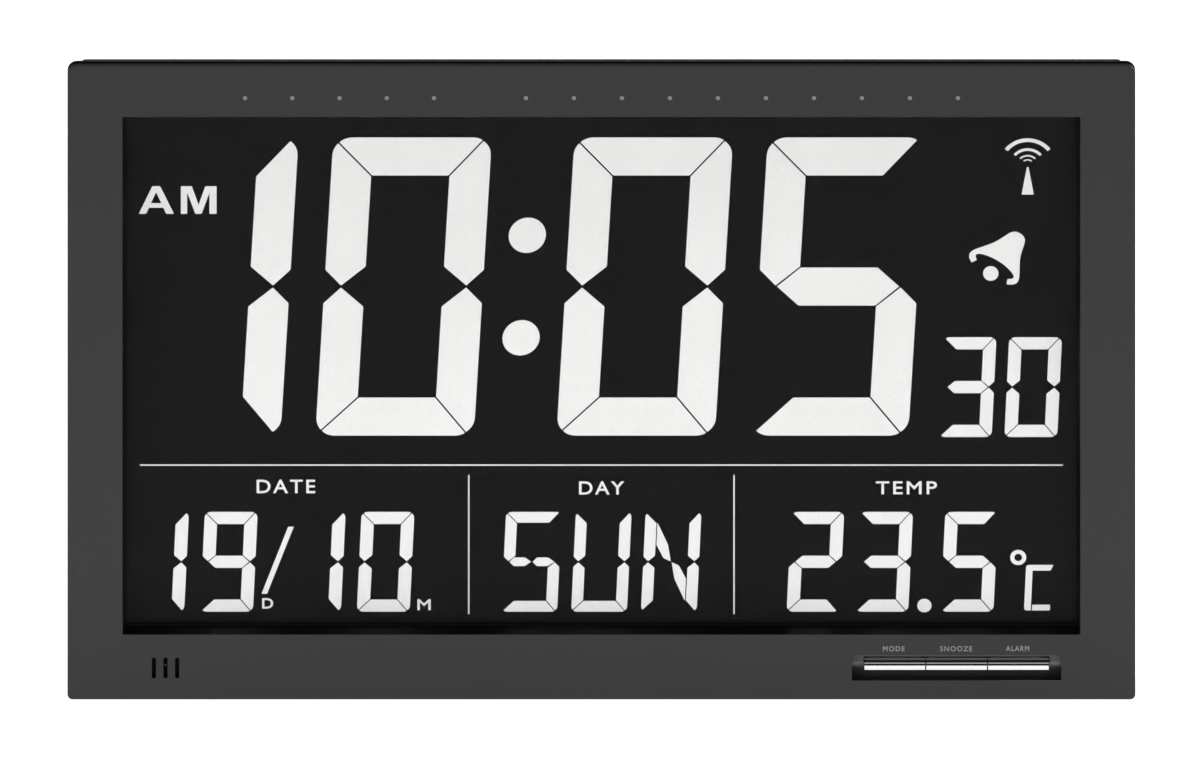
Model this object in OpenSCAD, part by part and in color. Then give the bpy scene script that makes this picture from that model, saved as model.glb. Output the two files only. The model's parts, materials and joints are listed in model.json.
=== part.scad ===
// Jumbo digital alarm clock with a black display, three chrome bar keys and two fold-out feet.
// Millimetres. X runs along the width, Y from the front face to the back, Z up from the base.
// Every place along Y is a depth behind the front face, until placed() centres the case.

/* [Case] */
// Width of the case
case_w = 368; // [364:1:400]
// Height of the case
case_h = 230; // [228:1:250]
// Depth of the case with the feet folded in
case_d = 30; // [30:0.5:36]
// Thickness of the front frame's face
face_t = 2.5; // [2:0.1:2.8]
// Thickness of the front frame's rim
rim_wall = 2.4; // [2:0.1:2.8]
// Depth of the front frame's rim
rim_d = 6; // [5.5:0.1:6.5]
// Width of the groove round the rim
groove_w = 2; // [1:0.1:2.2]
// Depth of the groove round the rim
groove_t = 0.7; // [0.3:0.1:0.9]
// Radius of the two upper corners
top_corner_r = 3.4; // [2:0.1:5]
// Radius of the two lower corners
bottom_corner_r = 1.8; // [1:0.1:3]
// Radius of the rear cover's upper corners
cover_corner_r = 2; // [1:0.1:4]
// Step in from the rim to the rear cover, at the sides and the top
cover_step = 4.8; // [4.4:0.1:5.2]
// Wall of the rear cover
cover_wall = 2.2; // [1.8:0.1:2.4]
// Depth over which the rear cover's back edges slope in
slope_d = 8; // [6:0.5:10]
// How far the rear cover's back edges slope in
slope_in = 4; // [2:0.5:4.5]

/* [Window] */
// Frame beside the window
border_side = 19; // [18.6:0.1:20]
// Frame above the window
border_top = 18.6; // [18.2:0.1:20]
// Frame below the window
border_bottom = 23.6; // [23.4:0.1:25]
// How far the window's walls lean in on their way back
window_draft = 1.1; // [0.5:0.1:1.5]
// Depth of the display behind the front face
display_recess = 7.5; // [7:0.1:8]
// Thickness of the wall above the window
window_wall = 2; // [1.6:0.1:2]

/* [Display] */
// Glass hidden behind the frame on each side
glass_overlap = 3; // [2.4:0.1:3.2]
// Thickness of each glass
glass_t = 0.7; // [0.5:0.1:0.9]
// Thickness of each film
film_t = 0.2; // [0.1:0.05:0.3]
// Gap between the glasses, which holds the digits
cell_gap = 0.2; // [0.1:0.05:0.3]
// Thickness of the foam gasket
gasket_t = 0.5; // [0.3:0.1:0.8]
// Height of the contact ledge along the top of the front glass
ledge_h = 3.2; // [2.8:0.1:3.4]
// Length of the contact strip
strip_l = 280; // [240:1:285]
// Thickness of the display holder
holder_t = 1.6; // [1.2:0.1:2]

/* [Digits] */
// Lean of the time digits to the right, in degrees
digit_lean = 3.3; // [0:0.1:8]
// Lean of the small digits to the right, in degrees
small_lean = 2.6; // [0:0.1:8]
// Height of the time digits
time_h = 108.2; // [90:0.2:112]
// Width of the time digits
time_w = 54.6; // [46:0.1:55]
// Stroke of the time digits
time_stroke = 13.8; // [9:0.1:15]
// Space between two time digits
time_space = 12; // [8:0.1:12.5]
// Space for the colon
colon_space = 28.5; // [24:0.1:29]
// Diameter of the colon's dots
colon_dot_d = 12.8; // [8:0.1:14]
// Distance from the time digits' middle to a colon dot
colon_rise = 18.6; // [12:0.1:24]
// Height of the small digits
small_h = 36.2; // [30:0.1:38]
// Width of the small digits
small_w = 18.2; // [15:0.1:18.8]
// Stroke of the small digits
small_stroke = 4.4; // [3:0.1:5]
// Stroke of the weekday's letters
letter_stroke = 3.9; // [3:0.1:4.2]
// Dark line between two segments of a time digit
segment_gap = 0.55; // [0.3:0.05:0.8]
// Dark line between two segments of a small digit
small_gap = 0.35; // [0.2:0.05:0.5]
// Thickness of the dividing lines
line_t = 0.6; // [0.4:0.1:1]

/* [Front keys] */
// Width of the key pocket
pocket_w = 72; // [70:0.5:74]
// Height of the key pocket
pocket_h = 9.1; // [8.4:0.1:9.6]
// Frame beside the key pocket
pocket_side = 25.6; // [24.6:0.1:30]
// Frame below the key pocket
pocket_bottom = 6.9; // [6.6:0.1:7.4]
// What the trough's radius exceeds half the pocket's height by
trough_swell = 0.15; // [0.05:0.05:0.6]
// Width of each bar key
key_w = 20.9; // [18:0.1:21.2]
// Height of each bar key
key_h = 2; // [1.6:0.1:2.2]
// Gap between two bar keys
key_gap = 0.4; // [0.35:0.05:0.8]
// Travel of the front keys
key_travel = 0.8; // [0.4:0.1:1]

/* [Rear keys] */
// Diameter of the rear keys
rear_key_d = 8; // [6:0.1:9]
// Distance between two rear keys
rear_key_pitch = 15; // [14:0.1:17]
// Travel of the rear keys
rear_key_travel = 0.8; // [0.4:0.1:0.9]

/* [Stand] */
// Depth of the clock with its feet swung out
stand_d = 79; // [70:1:80]
// Height of a foot
foot_h = 40; // [36:1:46]
// Thickness of a foot
foot_t = 3.6; // [3:0.1:3.8]

/* [Batteries] */
// Diameter of a cell
cell_d = 14.5; // [14:0.1:14.5]
// Length of a cell
cell_l = 50.5; // [49:0.1:51]
// Number of cells
cell_count = 4; // [2:1:4]
// Thickness of the battery door
door_t = 1.8; // [1.4:0.1:1.8]

/* [Hanging] */
// Distance between the two keyholes
hanger_pitch = 160; // [150:1:170]
// Radius of a keyhole's entry
hanger_r = 4.25; // [4:0.05:4.5]
// Radius of a keyhole's slot
hanger_slot_r = 2.1; // [1.8:0.05:2.5]
// Length of a keyhole's slot
hanger_slot_l = 9; // [7:0.5:10]

/* [Hidden] */
$fn = 48;
EPS = 0.01;

// Colours, as the photograph shows them
frame_grey = "#404040";
cover_grey = "#363636";
display_black = "#1a1a1a";
digit_white = "#ececea";
chrome_grey = "#c8c8c8";
board_green = "#1f5a38";
brass_yellow = "#b8963c";
steel_grey = "#a0a0a0";
part_black = "#202020";

// Clearances
slide_gap = 0.3;     // round a moving piece
seat_gap = 0.3;      // round a piece that is dropped in its seat
shell_gap = 0.3;     // between the rim and the rear cover
pin_gap = 0.05;      // between a pin and its bore
thread_gap = 0.05;   // between a screw and its pilot bore
film_margin = 1.5;   // from the glass's edge in to a film's edge

// Case
half_w = case_w / 2;
groove_y = face_t + 0.2;
cover_x = half_w - cover_step;
cover_top = case_h - cover_step;
inner_x = cover_x - cover_wall;
inner_top = cover_top - cover_wall;
back_in = case_d - cover_wall;
flange_t = 1.8;
flange_in = rim_wall + shell_gap;
flange_low = flange_in + 1.6;

// Window and display, from front to back
win_x = half_w - border_side;
win_bottom = border_bottom;
win_top = case_h - border_top;
view_x = win_x - window_draft;
view_bottom = win_bottom + window_draft;
view_top = win_top - window_draft;
gasket_y = display_recess - gasket_t;
gasket_show = 0.4;
glass_y = display_recess + film_t;
cell_y = glass_y + glass_t;
rear_glass_y = cell_y + cell_gap;
rear_film_y = rear_glass_y + glass_t;
holder_y = rear_film_y + film_t;
holder_back = holder_y + holder_t;
glass_x = view_x + glass_overlap;
glass_bottom = view_bottom - glass_overlap;
glass_top = view_top + glass_overlap;
ledge_top = glass_top + ledge_h;
seal_w = 1.6;
rib_t = 1.2;
film_x = glass_x - film_margin;
film_bottom = glass_bottom + film_margin;
film_top = glass_top - film_margin;

// Key pocket
pocket_x1 = half_w - pocket_side;
pocket_x0 = pocket_x1 - pocket_w;
pocket_top = pocket_bottom + pocket_h;
pocket_x = (pocket_x0 + pocket_x1) / 2;
pocket_z = (pocket_bottom + pocket_top) / 2;

// Screws
post_r = 4;
column_r = 5.6;
column_bottom_t = 3;
case_screw_r = 1.4;
case_screw_head_r = 2.6;
case_screw_head_t = 2;
case_screw_well_r = 2.9;
case_screw_grip = 7;
post_end = 14;
small_screw_r = 1;
small_screw_head_r = 1.9;
small_screw_head_t = 1.2;
small_screw_l = 3.2;
holder_post_r = 2.4;
holder_screw_l = 5;
rib_x = glass_x + seat_gap + rib_t;
post_merge = 0.6;
side_post_x = rib_x + post_r - post_merge;
upper_screw_drop = 32;
middle_screw_z = 98.9;
bottom_screw_z = 12;
pocket_to_screw = 20.4;
bottom_screw_x = pocket_x0 - pocket_to_screw;
case_screws_at = [
    for (side = [-1, 1]) each [
        [side * side_post_x, case_h - upper_screw_drop],
        [side * side_post_x, middle_screw_z],
        [side * bottom_screw_x, bottom_screw_z]
    ]
];
side_holder_post_x = rib_x + holder_post_r - post_merge;
top_holder_post_z = ledge_top + seat_gap + rib_t + holder_post_r - post_merge;
bottom_holder_post_z = glass_bottom - seat_gap - rib_t - holder_post_r + post_merge;
low_holder_post_z = 60;
high_holder_post_z = 150;
inner_holder_post_x = 60;
holder_screws_at = [
    for (side = [-1, 1]) each [
        [side * side_holder_post_x, low_holder_post_z],
        [side * side_holder_post_x, high_holder_post_z],
        [side * inner_holder_post_x, top_holder_post_z],
        [side * inner_holder_post_x, bottom_holder_post_z]
    ]
];

// Key tray
tray_wall = 1.6;
tray_lip = 1.8;
pocket_low = pocket_bottom - tray_lip;
pocket_high = pocket_top + tray_lip;
trough_r = pocket_h / 2 + trough_swell;
trough_y = face_t + sqrt(pow(trough_r, 2) - pow(pocket_h / 2, 2));
tray_back = trough_y + trough_r + tray_wall;
key_front = 0.4;
key_z = pocket_z + 0.2;
key_bevel = 0.5;
key_pitch = key_w + key_gap;
key_block_w = 3 * key_w + 2 * key_gap;
key_flange_y = tray_back + slide_gap;
key_flange_t = 1.2;
key_flange_h = 5;
key_flange_inset = 1.2;
plunger_r = 1.7;
plunger_l = 3.8;
switch_size = 6;
switch_t = 3.5;
switch_bore = 3;
switch_air = key_travel + 1;
key_switch_y = key_flange_y + key_flange_t + switch_air;
board_t = 1.6;
key_board_y = key_switch_y + switch_t;
key_post_r = 2.6;
key_post_x = pocket_w / 2 + tray_wall + key_post_r - post_merge;
key_board_margin = 1;
key_ribbon_side = 18.6;
key_ribbon_drop = 3;
ribbon_w = 9;
ribbon_t = 0.6;
ribbon_rest = 6;
ribbon_bend = 3;

// Vents and temperature sensor
vent_w = 1.4;
vent_h = 7.5;
vent_z = 11.5;
vent_pitch = 4;
vent_side = 33.8;
vent_x = -(half_w - vent_side);
sensor_y = 6.2;
sensor_w = 15;
sensor_h = 11;
sensor_t = 1.2;
sensor_post_r = 1.4;
bead_r = 1.2;
bead_y = face_t + 1.5;

// Main board
standoff_h = 2;
standoff_r = 2.5;
main_board_y = holder_back + standoff_h;
main_board_side = 19.9;
main_board_x = glass_x - main_board_side;
main_board_h = 45;
main_board_rise = 0.6;
main_board_top = ledge_top + main_board_rise;
main_board_bottom = main_board_top - main_board_h;
main_screw_side = 15;
main_screw_low = 6;
main_screw_high = 34;
main_screws_at = [
    for (side = [-1, 1], up = [main_screw_low, main_screw_high])
        [side * (main_board_x - main_screw_side), main_board_bottom + up]
];
strip_t = 2.4;
strip_z = glass_top + ledge_h / 2;
chip_r = 10;
chip_left_x = -40;
chip_right_x = 50;
chip_rise = 22;
chip_z = main_board_bottom + chip_rise;
chip_t = 1.6;
crystal_r = 1;
crystal_x = 4;
crystal_l = 6;

// Radio receiver
rod_r = 4;
rod_l = 60;
rod_to_vent = 46.2;
rod_x = vent_x + rod_to_vent;
rod_y = 13;
rod_z = 8.6;
coil_r = 5.2;
coil_l = 26;
clip_wall = 1.4;
clip_w = 4;
clip_gap = 0.1;
receiver_to_screw = 20;
receiver_x = receiver_to_screw - bottom_screw_x;
receiver_w = 20;
receiver_h = 10;
receiver_y = 8;
receiver_z = 9.7;

// Rear keys
rear_key_side = 42;
rear_key_x = main_board_x - rear_key_side;
rear_key_drop = 22.1;
rear_key_z = main_board_bottom - rear_key_drop;
rear_key_count = 4;
panel_d = 1.2;
panel_in = back_in - panel_d;
rear_key_end = case_d - 0.2;
rear_flange_t = 1;
rear_flange_r = rear_key_d / 2 + 1.3;
rear_flange_y = panel_in - slide_gap - rear_flange_t;
rear_switch_y = rear_flange_y - rear_key_travel - 1 - switch_t;
rear_board_y = rear_switch_y - board_t;
rear_board_margin = 6;
rear_board_w = rear_key_count * rear_key_pitch + 2 * rear_board_margin;
rear_board_h = 16;
rear_post_in = 3.2;
rear_post_x = rear_board_w / 2 - rear_post_in;
rear_post_z = rear_board_h / 2 - rear_post_in;
panel_margin = 1.5;
panel_rise = 3;
panel_w = rear_key_count * rear_key_pitch + 2 * panel_margin;
panel_h = rear_key_d + 2 * panel_rise;
rear_screws_at = [
    for (side = [-1, 1], up = [-1, 1])
        [rear_key_x + side * rear_post_x, rear_key_z + up * rear_post_z]
];

// Buzzer
buzzer_x = -rear_key_x;
buzzer_z = rear_key_z;
buzzer_ring_r = 15;
buzzer_ring_wall = 2.2;
buzzer_ring_h = 3;
piezo_r = 13.5;
piezo_t = 0.4;
ceramic_r = 9;
ceramic_t = 0.3;
piezo_y = back_in - buzzer_ring_h - piezo_t;
sound_hole_r = 1.1;
sound_hole_circle = 6;

// Battery bay
bay_wall = 1.5;
bay_floor_t = 1.2;
bay_floor_y = holder_back + 0.4 + bay_floor_t;
cell_pitch = cell_d + 0.5;
contact_l = 3;
plate_t = 0.4;
nub_l = 1;
spring_small_r = 2.6;
spring_large_r = 4.8;
bay_x = cell_l / 2 + contact_l + plate_t;
bay_h = cell_count * cell_pitch + 0.6;
bay_z = 96;
bay_bottom = bay_z - bay_h / 2;
bay_top = bay_z + bay_h / 2;
cell_axis_y = bay_floor_y + 0.2 + cell_d / 2;
door_lip = 2.5;
door_gap = 0.3;
door_x = bay_x + door_lip;
door_bottom = bay_bottom - door_lip;
door_top = bay_top + door_lip;
door_seat_gap = 0.2;
door_barrel_r = 1.5;
door_axis_y = case_d - door_barrel_r;
door_axis_z = door_bottom + door_barrel_r;
door_pin_r = 0.9;
door_pin_l = 2;
door_boss_l = 4;
door_clip_w = 14;
door_clip_t = 1.2;
door_clip_d = 4;

// Feet
foot_axis_y = case_d - 2.1;
foot_barrel_r = 2;
foot_axis_x = half_w - 18;
foot_l = stand_d - foot_axis_y;
foot_floor_gap = 0.2;
foot_neck = 6;
foot_ear_t = 3;
barrel_bottom = 8;
barrel_top = foot_h - 6;
foot_pin_r = 1.1;
foot_pin_l = 2.4;
foot_recess_y = foot_axis_y - max(foot_t / 2, foot_barrel_r) - 0.4;
foot_recess_wall = 2;

// Keyhole hangers
hanger_drop = 52;
hanger_z = case_h - hanger_drop;
hanger_room = 5;
hanger_wall = 1.5;

// Basic shapes

module placed() {
    translate([0, -case_d / 2, 0])
        children();
}

// Extrudes a front-view shape, drawn in X and Z, from depth y back by t
module plate(y, t) {
    translate([0, y + t, 0])
        rotate([90, 0, 0])
            linear_extrude(height = t)
                children();
}

// Extrudes a side-view shape, drawn in depth and Z, from x0 to x1
module along_x(x0, x1) {
    translate([x0, 0, 0])
        rotate([90, 0, 90])
            linear_extrude(height = x1 - x0)
                children();
}

// Extrudes a top-view shape, drawn in X and depth, from z0 to z1
module along_z(z0, z1) {
    translate([0, 0, z0])
        linear_extrude(height = z1 - z0)
            children();
}

module box(x0, x1, y0, y1, z0, z1) {
    translate([x0, y0, z0])
        cube([x1 - x0, y1 - y0, z1 - z0]);
}

module rod_along_y(x, z, y, l, r) {
    translate([x, y, z])
        rotate([-90, 0, 0])
            cylinder(h = l, r = r);
}

module rod_along_x(x, y, z, l, r) {
    translate([x, y, z])
        rotate([0, 90, 0])
            cylinder(h = l, r = r);
}

// A rectangle from corner to corner, with one radius below and one above
module panel(x0, z0, x1, z1, low_r, high_r) {
    translate([x0, z0 + low_r])
        square([x1 - x0, z1 - z0 - low_r - high_r]);
    translate([x0 + low_r, z0])
        square([x1 - x0 - 2 * low_r, low_r + EPS]);
    translate([x0 + high_r, z1 - high_r - EPS])
        square([x1 - x0 - 2 * high_r, high_r + EPS]);
    for (x = [x0 + low_r, x1 - low_r])
        translate([x, z0 + low_r])
            circle(low_r);
    for (x = [x0 + high_r, x1 - high_r])
        translate([x, z1 - high_r])
            circle(high_r);
}

module rect(x0, z0, x1, z1) {
    translate([x0, z0])
        square([x1 - x0, z1 - z0]);
}

module upright_slot(x, z, w, h) {
    straight = h - w;
    translate([x - w / 2, z - straight / 2])
        square([w, straight]);
    for (up = [-1, 1])
        translate([x, z + up * straight / 2])
            circle(w / 2);
}

module case_outline(inset) {
    panel(
        -half_w + inset, inset, half_w - inset, case_h - inset,
        max(bottom_corner_r - inset, 0.2), max(top_corner_r - inset, 0.2)
    );
}

// A tube of straight runs through a list of points, with side as a direction that no run follows
function unit(v) = v / norm(v);
function run_direction(points, i) =
    unit(points[min(i + 1, len(points) - 1)] - points[max(i - 1, 0)]);

module wire(points, r, side) {
    sides = 8;
    last = len(points) - 1;
    rings = [
        for (i = [0:last])
            let (
                t = run_direction(points, i),
                u = unit(cross(t, side)),
                v = cross(t, u)
            )
            for (k = [0:sides - 1])
                points[i] + r * (cos(360 * k / sides) * u + sin(360 * k / sides) * v)
    ];
    walls = [
        for (i = [0:last - 1], k = [0:sides - 1])
            let (a = i * sides + k, b = i * sides + (k + 1) % sides)
            each [[a, b + sides, b], [a, a + sides, b + sides]]
    ];
    ends = [
        [for (k = [0:sides - 1]) k],
        [for (k = [sides - 1:-1:0]) last * sides + k]
    ];
    polyhedron(points = rings, faces = concat(walls, ends));
}

// Front frame

module window_cut() {
    back = gasket_y + EPS;
    front = -EPS;
    lean = window_draft;
    intersection() {
        along_x(-win_x, win_x)
            polygon([
                [front, win_bottom], [back, win_bottom + lean],
                [back, win_top - lean], [front, win_top]
            ]);
        along_z(win_bottom, win_top)
            polygon([
                [-win_x, front], [-win_x + lean, back],
                [win_x - lean, back], [win_x, front]
            ]);
    }
}

// The trough with its slot, which the bar keys stand out of
module key_pocket_cut() {
    slot_x = key_block_w / 2 + slide_gap;
    rod_along_x(pocket_x0, trough_y, pocket_z, pocket_w, trough_r);
    box(pocket_x0, pocket_x1, -EPS, trough_y, pocket_bottom, pocket_top);
    box(
        pocket_x - slot_x, pocket_x + slot_x, trough_y, tray_back + EPS,
        key_z - key_h / 2 - slide_gap, key_z + key_h / 2 + slide_gap
    );
}

module front_frame() {
    color(frame_grey)
        difference() {
            union() {
                plate(0, face_t)
                    case_outline(0);
                plate(face_t - EPS, rim_d - face_t + EPS)
                    difference() {
                        case_outline(0);
                        case_outline(rim_wall);
                    }
                plate(face_t - EPS, gasket_y - face_t + EPS)
                    rect(
                        -rib_x, glass_bottom - seat_gap - rib_t,
                        rib_x, win_top + window_wall
                    );
                plate(face_t - EPS, holder_y - face_t + EPS)
                    difference() {
                        rect(
                            -rib_x, glass_bottom - seat_gap - rib_t,
                            rib_x, ledge_top + seat_gap + rib_t
                        );
                        rect(
                            -glass_x - seat_gap, glass_bottom - seat_gap,
                            glass_x + seat_gap, ledge_top + seat_gap
                        );
                    }
                for (p = case_screws_at)
                    rod_along_y(p[0], p[1], face_t - EPS, post_end - face_t + EPS, post_r);
                for (p = holder_screws_at)
                    rod_along_y(p[0], p[1], face_t - EPS, holder_y - face_t + EPS, holder_post_r);
                box(
                    pocket_x0 - tray_wall, pocket_x1 + tray_wall,
                    face_t - EPS, tray_back, pocket_low, pocket_high
                );
                for (side = [-1, 1]) {
                    rod_along_y(
                        pocket_x + side * key_post_x, pocket_z,
                        face_t - EPS, key_board_y - face_t + EPS, key_post_r
                    );
                    box(
                        pocket_x + side * (pocket_w + tray_wall) / 2 - tray_wall / 2,
                        pocket_x + side * (pocket_w + tray_wall) / 2 + tray_wall / 2,
                        tray_back - EPS, key_board_y, pocket_low, pocket_high
                    );
                }
                for (side = [-1, 1])
                    rod_along_y(
                        vent_x + side * (vent_pitch + vent_w / 2 + sensor_post_r), vent_z,
                        face_t - EPS, sensor_y - face_t + EPS, sensor_post_r
                    );
            }
            window_cut();
            key_pocket_cut();
            plate(groove_y, groove_w)
                difference() {
                    case_outline(-1);
                    case_outline(groove_t);
                }
            for (i = [-1:1])
                plate(-EPS, face_t + 2 * EPS)
                    upright_slot(vent_x + i * vent_pitch, vent_z, vent_w, vent_h);
            for (p = case_screws_at)
                rod_along_y(
                    p[0], p[1], post_end - case_screw_grip - 1,
                    case_screw_grip + 2, case_screw_r + thread_gap
                );
            for (p = holder_screws_at)
                rod_along_y(
                    p[0], p[1], holder_y - holder_screw_l, holder_screw_l + 1,
                    small_screw_r + thread_gap
                );
            for (side = [-1, 1])
                rod_along_y(
                    pocket_x + side * key_post_x, pocket_z,
                    key_board_y - small_screw_l, small_screw_l + 1,
                    small_screw_r + thread_gap
                );
        }
}

// Front keys and what they press on

// The bar keys count from the left, 0 to 2
function key_x(i) = pocket_x + (i - 1) * key_pitch;

module front_key(i) {
    x0 = key_x(i) - key_w / 2;
    x1 = key_x(i) + key_w / 2;
    low = key_z - key_h / 2;
    high = key_z + key_h / 2;
    edge = 0.25;
    color(chrome_grey) {
        along_x(x0, x1)
            polygon([
                [key_front + edge, low], [key_flange_y + EPS, low],
                [key_flange_y + EPS, high], [key_front + key_bevel, high],
                [key_front, high - key_bevel], [key_front, low + edge]
            ]);
        box(
            x0 + key_flange_inset, x1 - key_flange_inset,
            key_flange_y, key_flange_y + key_flange_t,
            key_z - key_flange_h / 2, key_z + key_flange_h / 2
        );
    }
}

module front_plunger(i) {
    color(part_black)
        rod_along_y(key_x(i), key_z, key_flange_y + key_flange_t, plunger_l, plunger_r);
}

// A push switch with its bore's mouth at depth 0, facing the front
module push_switch() {
    difference() {
        box(
            -switch_size / 2, switch_size / 2, 0, switch_t,
            -switch_size / 2, switch_size / 2
        );
        rod_along_y(0, 0, -EPS, switch_bore + EPS, plunger_r + pin_gap);
    }
}

module key_switches() {
    color(steel_grey)
        for (i = [0:2])
            translate([key_x(i), key_switch_y, key_z])
                push_switch();
}

module key_board() {
    x = key_post_x + key_post_r + key_board_margin;
    color(board_green)
        plate(key_board_y, board_t)
            difference() {
                rect(pocket_x - x, pocket_low, pocket_x + x, pocket_high);
                for (side = [-1, 1])
                    translate([pocket_x + side * key_post_x, pocket_z])
                        circle(small_screw_r + thread_gap);
            }
}

// A flat cable of three straight runs: on one board's back, up behind the display, on the other's back
module flat_cable(x, w, y0, z0, y1, z1, rest) {
    t = ribbon_t;
    turn_z = z0 + rest + ribbon_bend;
    color(steel_grey)
        along_x(x - w / 2, x + w / 2)
            polygon([
                [y0, z0], [y0 + t, z0], [y0 + t, z0 + rest],
                [y1 + t, turn_z + abs(y1 - y0)], [y1 + t, z1 + rest], [y1, z1 + rest],
                [y1, turn_z + abs(y1 - y0) - t], [y0, z0 + rest]
            ]);
}

module key_ribbon() {
    flat_cable(
        pocket_x + key_ribbon_side, ribbon_w, key_board_y + board_t,
        pocket_top - key_ribbon_drop, main_board_y + board_t, main_board_bottom, ribbon_rest
    );
}

// Display

module display_gasket() {
    color(part_black)
        plate(gasket_y, gasket_t)
            difference() {
                rect(-glass_x, glass_bottom, glass_x, glass_top);
                rect(
                    -view_x + gasket_show, view_bottom + gasket_show,
                    view_x - gasket_show, view_top - gasket_show
                );
            }
}

module front_film() {
    color([0.1, 0.1, 0.1, 0.4])
        plate(display_recess, film_t)
            rect(-film_x, film_bottom, film_x, film_top);
}

module front_glass() {
    color([0.6, 0.65, 0.65, 0.3])
        plate(glass_y, glass_t)
            rect(-glass_x, glass_bottom, glass_x, ledge_top);
}

module cell_seal() {
    color(steel_grey)
        plate(cell_y, cell_gap)
            difference() {
                rect(-glass_x, glass_bottom, glass_x, glass_top);
                rect(
                    -glass_x + seal_w, glass_bottom + seal_w,
                    glass_x - seal_w, glass_top - seal_w
                );
            }
}

module rear_glass() {
    color(display_black)
        plate(rear_glass_y, glass_t)
            rect(-glass_x, glass_bottom, glass_x, glass_top);
}

module rear_film() {
    color(part_black)
        plate(rear_film_y, film_t)
            rect(-film_x, film_bottom, film_x, film_top);
}

module contact_strip() {
    color(part_black)
        box(
            -strip_l / 2, strip_l / 2, cell_y, main_board_y,
            strip_z - strip_t / 2, strip_z + strip_t / 2
        );
}

module display_holder() {
    low = bottom_holder_post_z - holder_post_r - 0.4;
    side = side_holder_post_x + holder_post_r;
    high = top_holder_post_z + holder_post_r;
    slot = strip_t / 2 + seat_gap;
    color(frame_grey)
        difference() {
            union() {
                plate(holder_y, holder_t)
                    rect(-side, low, side, high);
                for (p = main_screws_at)
                    rod_along_y(p[0], p[1], holder_back - EPS, standoff_h + EPS, standoff_r);
            }
            plate(holder_y - EPS, holder_t + 2 * EPS) {
                for (p = case_screws_at)
                    translate(p)
                        circle(post_r + seat_gap);
                for (p = holder_screws_at)
                    translate(p)
                        circle(small_screw_r + thread_gap);
                rect(
                    -strip_l / 2 - seat_gap, strip_z - slot,
                    strip_l / 2 + seat_gap, strip_z + slot
                );
                rect(
                    pocket_x0 - tray_wall - seat_gap, pocket_low,
                    pocket_x1 + tray_wall + seat_gap, pocket_high + seat_gap
                );
            }
            for (p = main_screws_at)
                rod_along_y(
                    p[0], p[1], main_board_y - small_screw_l + board_t - 0.2,
                    small_screw_l + 1, small_screw_r + thread_gap
                );
        }
}

// A pan-head screw with its head's seat at depth 0, pointing to the front
module screw(r, l, head_r, head_t) {
    rod_along_y(0, 0, -l, l + EPS, r);
    difference() {
        rod_along_y(0, 0, 0, head_t, head_r);
        for (turn = [0, 90])
            translate([0, head_t, 0])
                rotate([0, turn, 0])
                    cube([head_r * 1.1, head_t, head_r * 0.28], center = true);
    }
}

module small_screw(l) {
    screw(small_screw_r, l, small_screw_head_r, small_screw_head_t);
}

module holder_screws() {
    color(steel_grey)
        for (p = holder_screws_at)
            translate([p[0], holder_back, p[1]])
                small_screw(holder_screw_l);
}

// Digits

// Which of the segments a to g are lit, by digit
lit = [
    "abcdef", "bc", "abdeg", "abcdg", "bcfg",
    "acdfg", "acdefg", "abc", "abcdefg", "abcdfg"
];

// Points on a quarter of a digit's rounded corner, from angle a0 to angle a1
function corner(x, z, r, a0, a1) = [
    for (k = [0:4])
        let (a = a0 + (a1 - a0) * k / 4)
        [x + r * cos(a), z + r * sin(a)]
];

// Where the left and right mitres end on the digit's rounded corners
left_mitre = 135;
right_mitre = 57;

// The top segment of a digit w wide and h high with stroke s, between its two mitred ends,
// which stand half the gap back from the mitre
module top_segment(w, h, s, gap) {
    r = s * 0.44;
    g = gap * 0.7;
    polygon(concat(
        [for (p = corner(w - r, h - r, r, right_mitre, 90)) p - [g, 0]],
        [for (p = corner(r, h - r, r, 90, left_mitre)) p + [g, 0]],
        [[s + g, h - s], [w - s - g, h - s]]
    ));
}

// The upper left segment, from its mitre down to its point at half height
module side_segment(w, h, s, gap, mitre) {
    r = s * 0.44;
    g = gap * 0.7;
    tip = s * 0.415;
    polygon(concat(
        [for (p = corner(r, h - r, r, mitre, 180)) p - [0, g]],
        [
            [0, h / 2 + tip + g], [tip, h / 2 + g],
            [s, h / 2 + s / 2 + g], [s, h - s - g]
        ]
    ));
}

module middle_segment(w, h, s, g) {
    tip = s * 0.415 + g;
    polygon([
        [tip, h / 2], [s + g / 2, h / 2 + s / 2], [w - s - g / 2, h / 2 + s / 2],
        [w - tip, h / 2], [w - s - g / 2, h / 2 - s / 2], [s + g / 2, h / 2 - s / 2]
    ]);
}

module flip_z(h) {
    translate([0, h])
        mirror([0, 1])
            children();
}

module flip_x(w) {
    translate([w, 0])
        mirror([1, 0])
            children();
}

module segment(name, w, h, s, gap) {
    if (name == "a")
        top_segment(w, h, s, gap);
    if (name == "b")
        flip_x(w)
            side_segment(w, h, s, gap, 180 - right_mitre);
    if (name == "c")
        flip_x(w)
            flip_z(h)
                side_segment(w, h, s, gap, 180 - right_mitre);
    if (name == "d")
        flip_z(h)
            top_segment(w, h, s, gap);
    if (name == "e")
        flip_z(h)
            side_segment(w, h, s, gap, left_mitre);
    if (name == "f")
        side_segment(w, h, s, gap, left_mitre);
    if (name == "g")
        middle_segment(w, h, s, gap);
}

// Leans a shape to the right about the height z
module leaning(z, lean) {
    k = tan(lean);
    multmatrix([[1, k, 0, -k * z], [0, 1, 0, 0], [0, 0, 1, 0], [0, 0, 0, 1]])
        children();
}

// One digit centred on x and z
module digit(value, x, z, w, h, s, gap, lean) {
    leaning(z, lean)
        translate([x - w / 2, z - h / 2])
            for (name = lit[value])
                segment(name, w, h, s, gap);
}

module small_digit(value, x, z) {
    digit(value, x, z, small_w, small_h, small_stroke, small_gap, small_lean);
}

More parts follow.
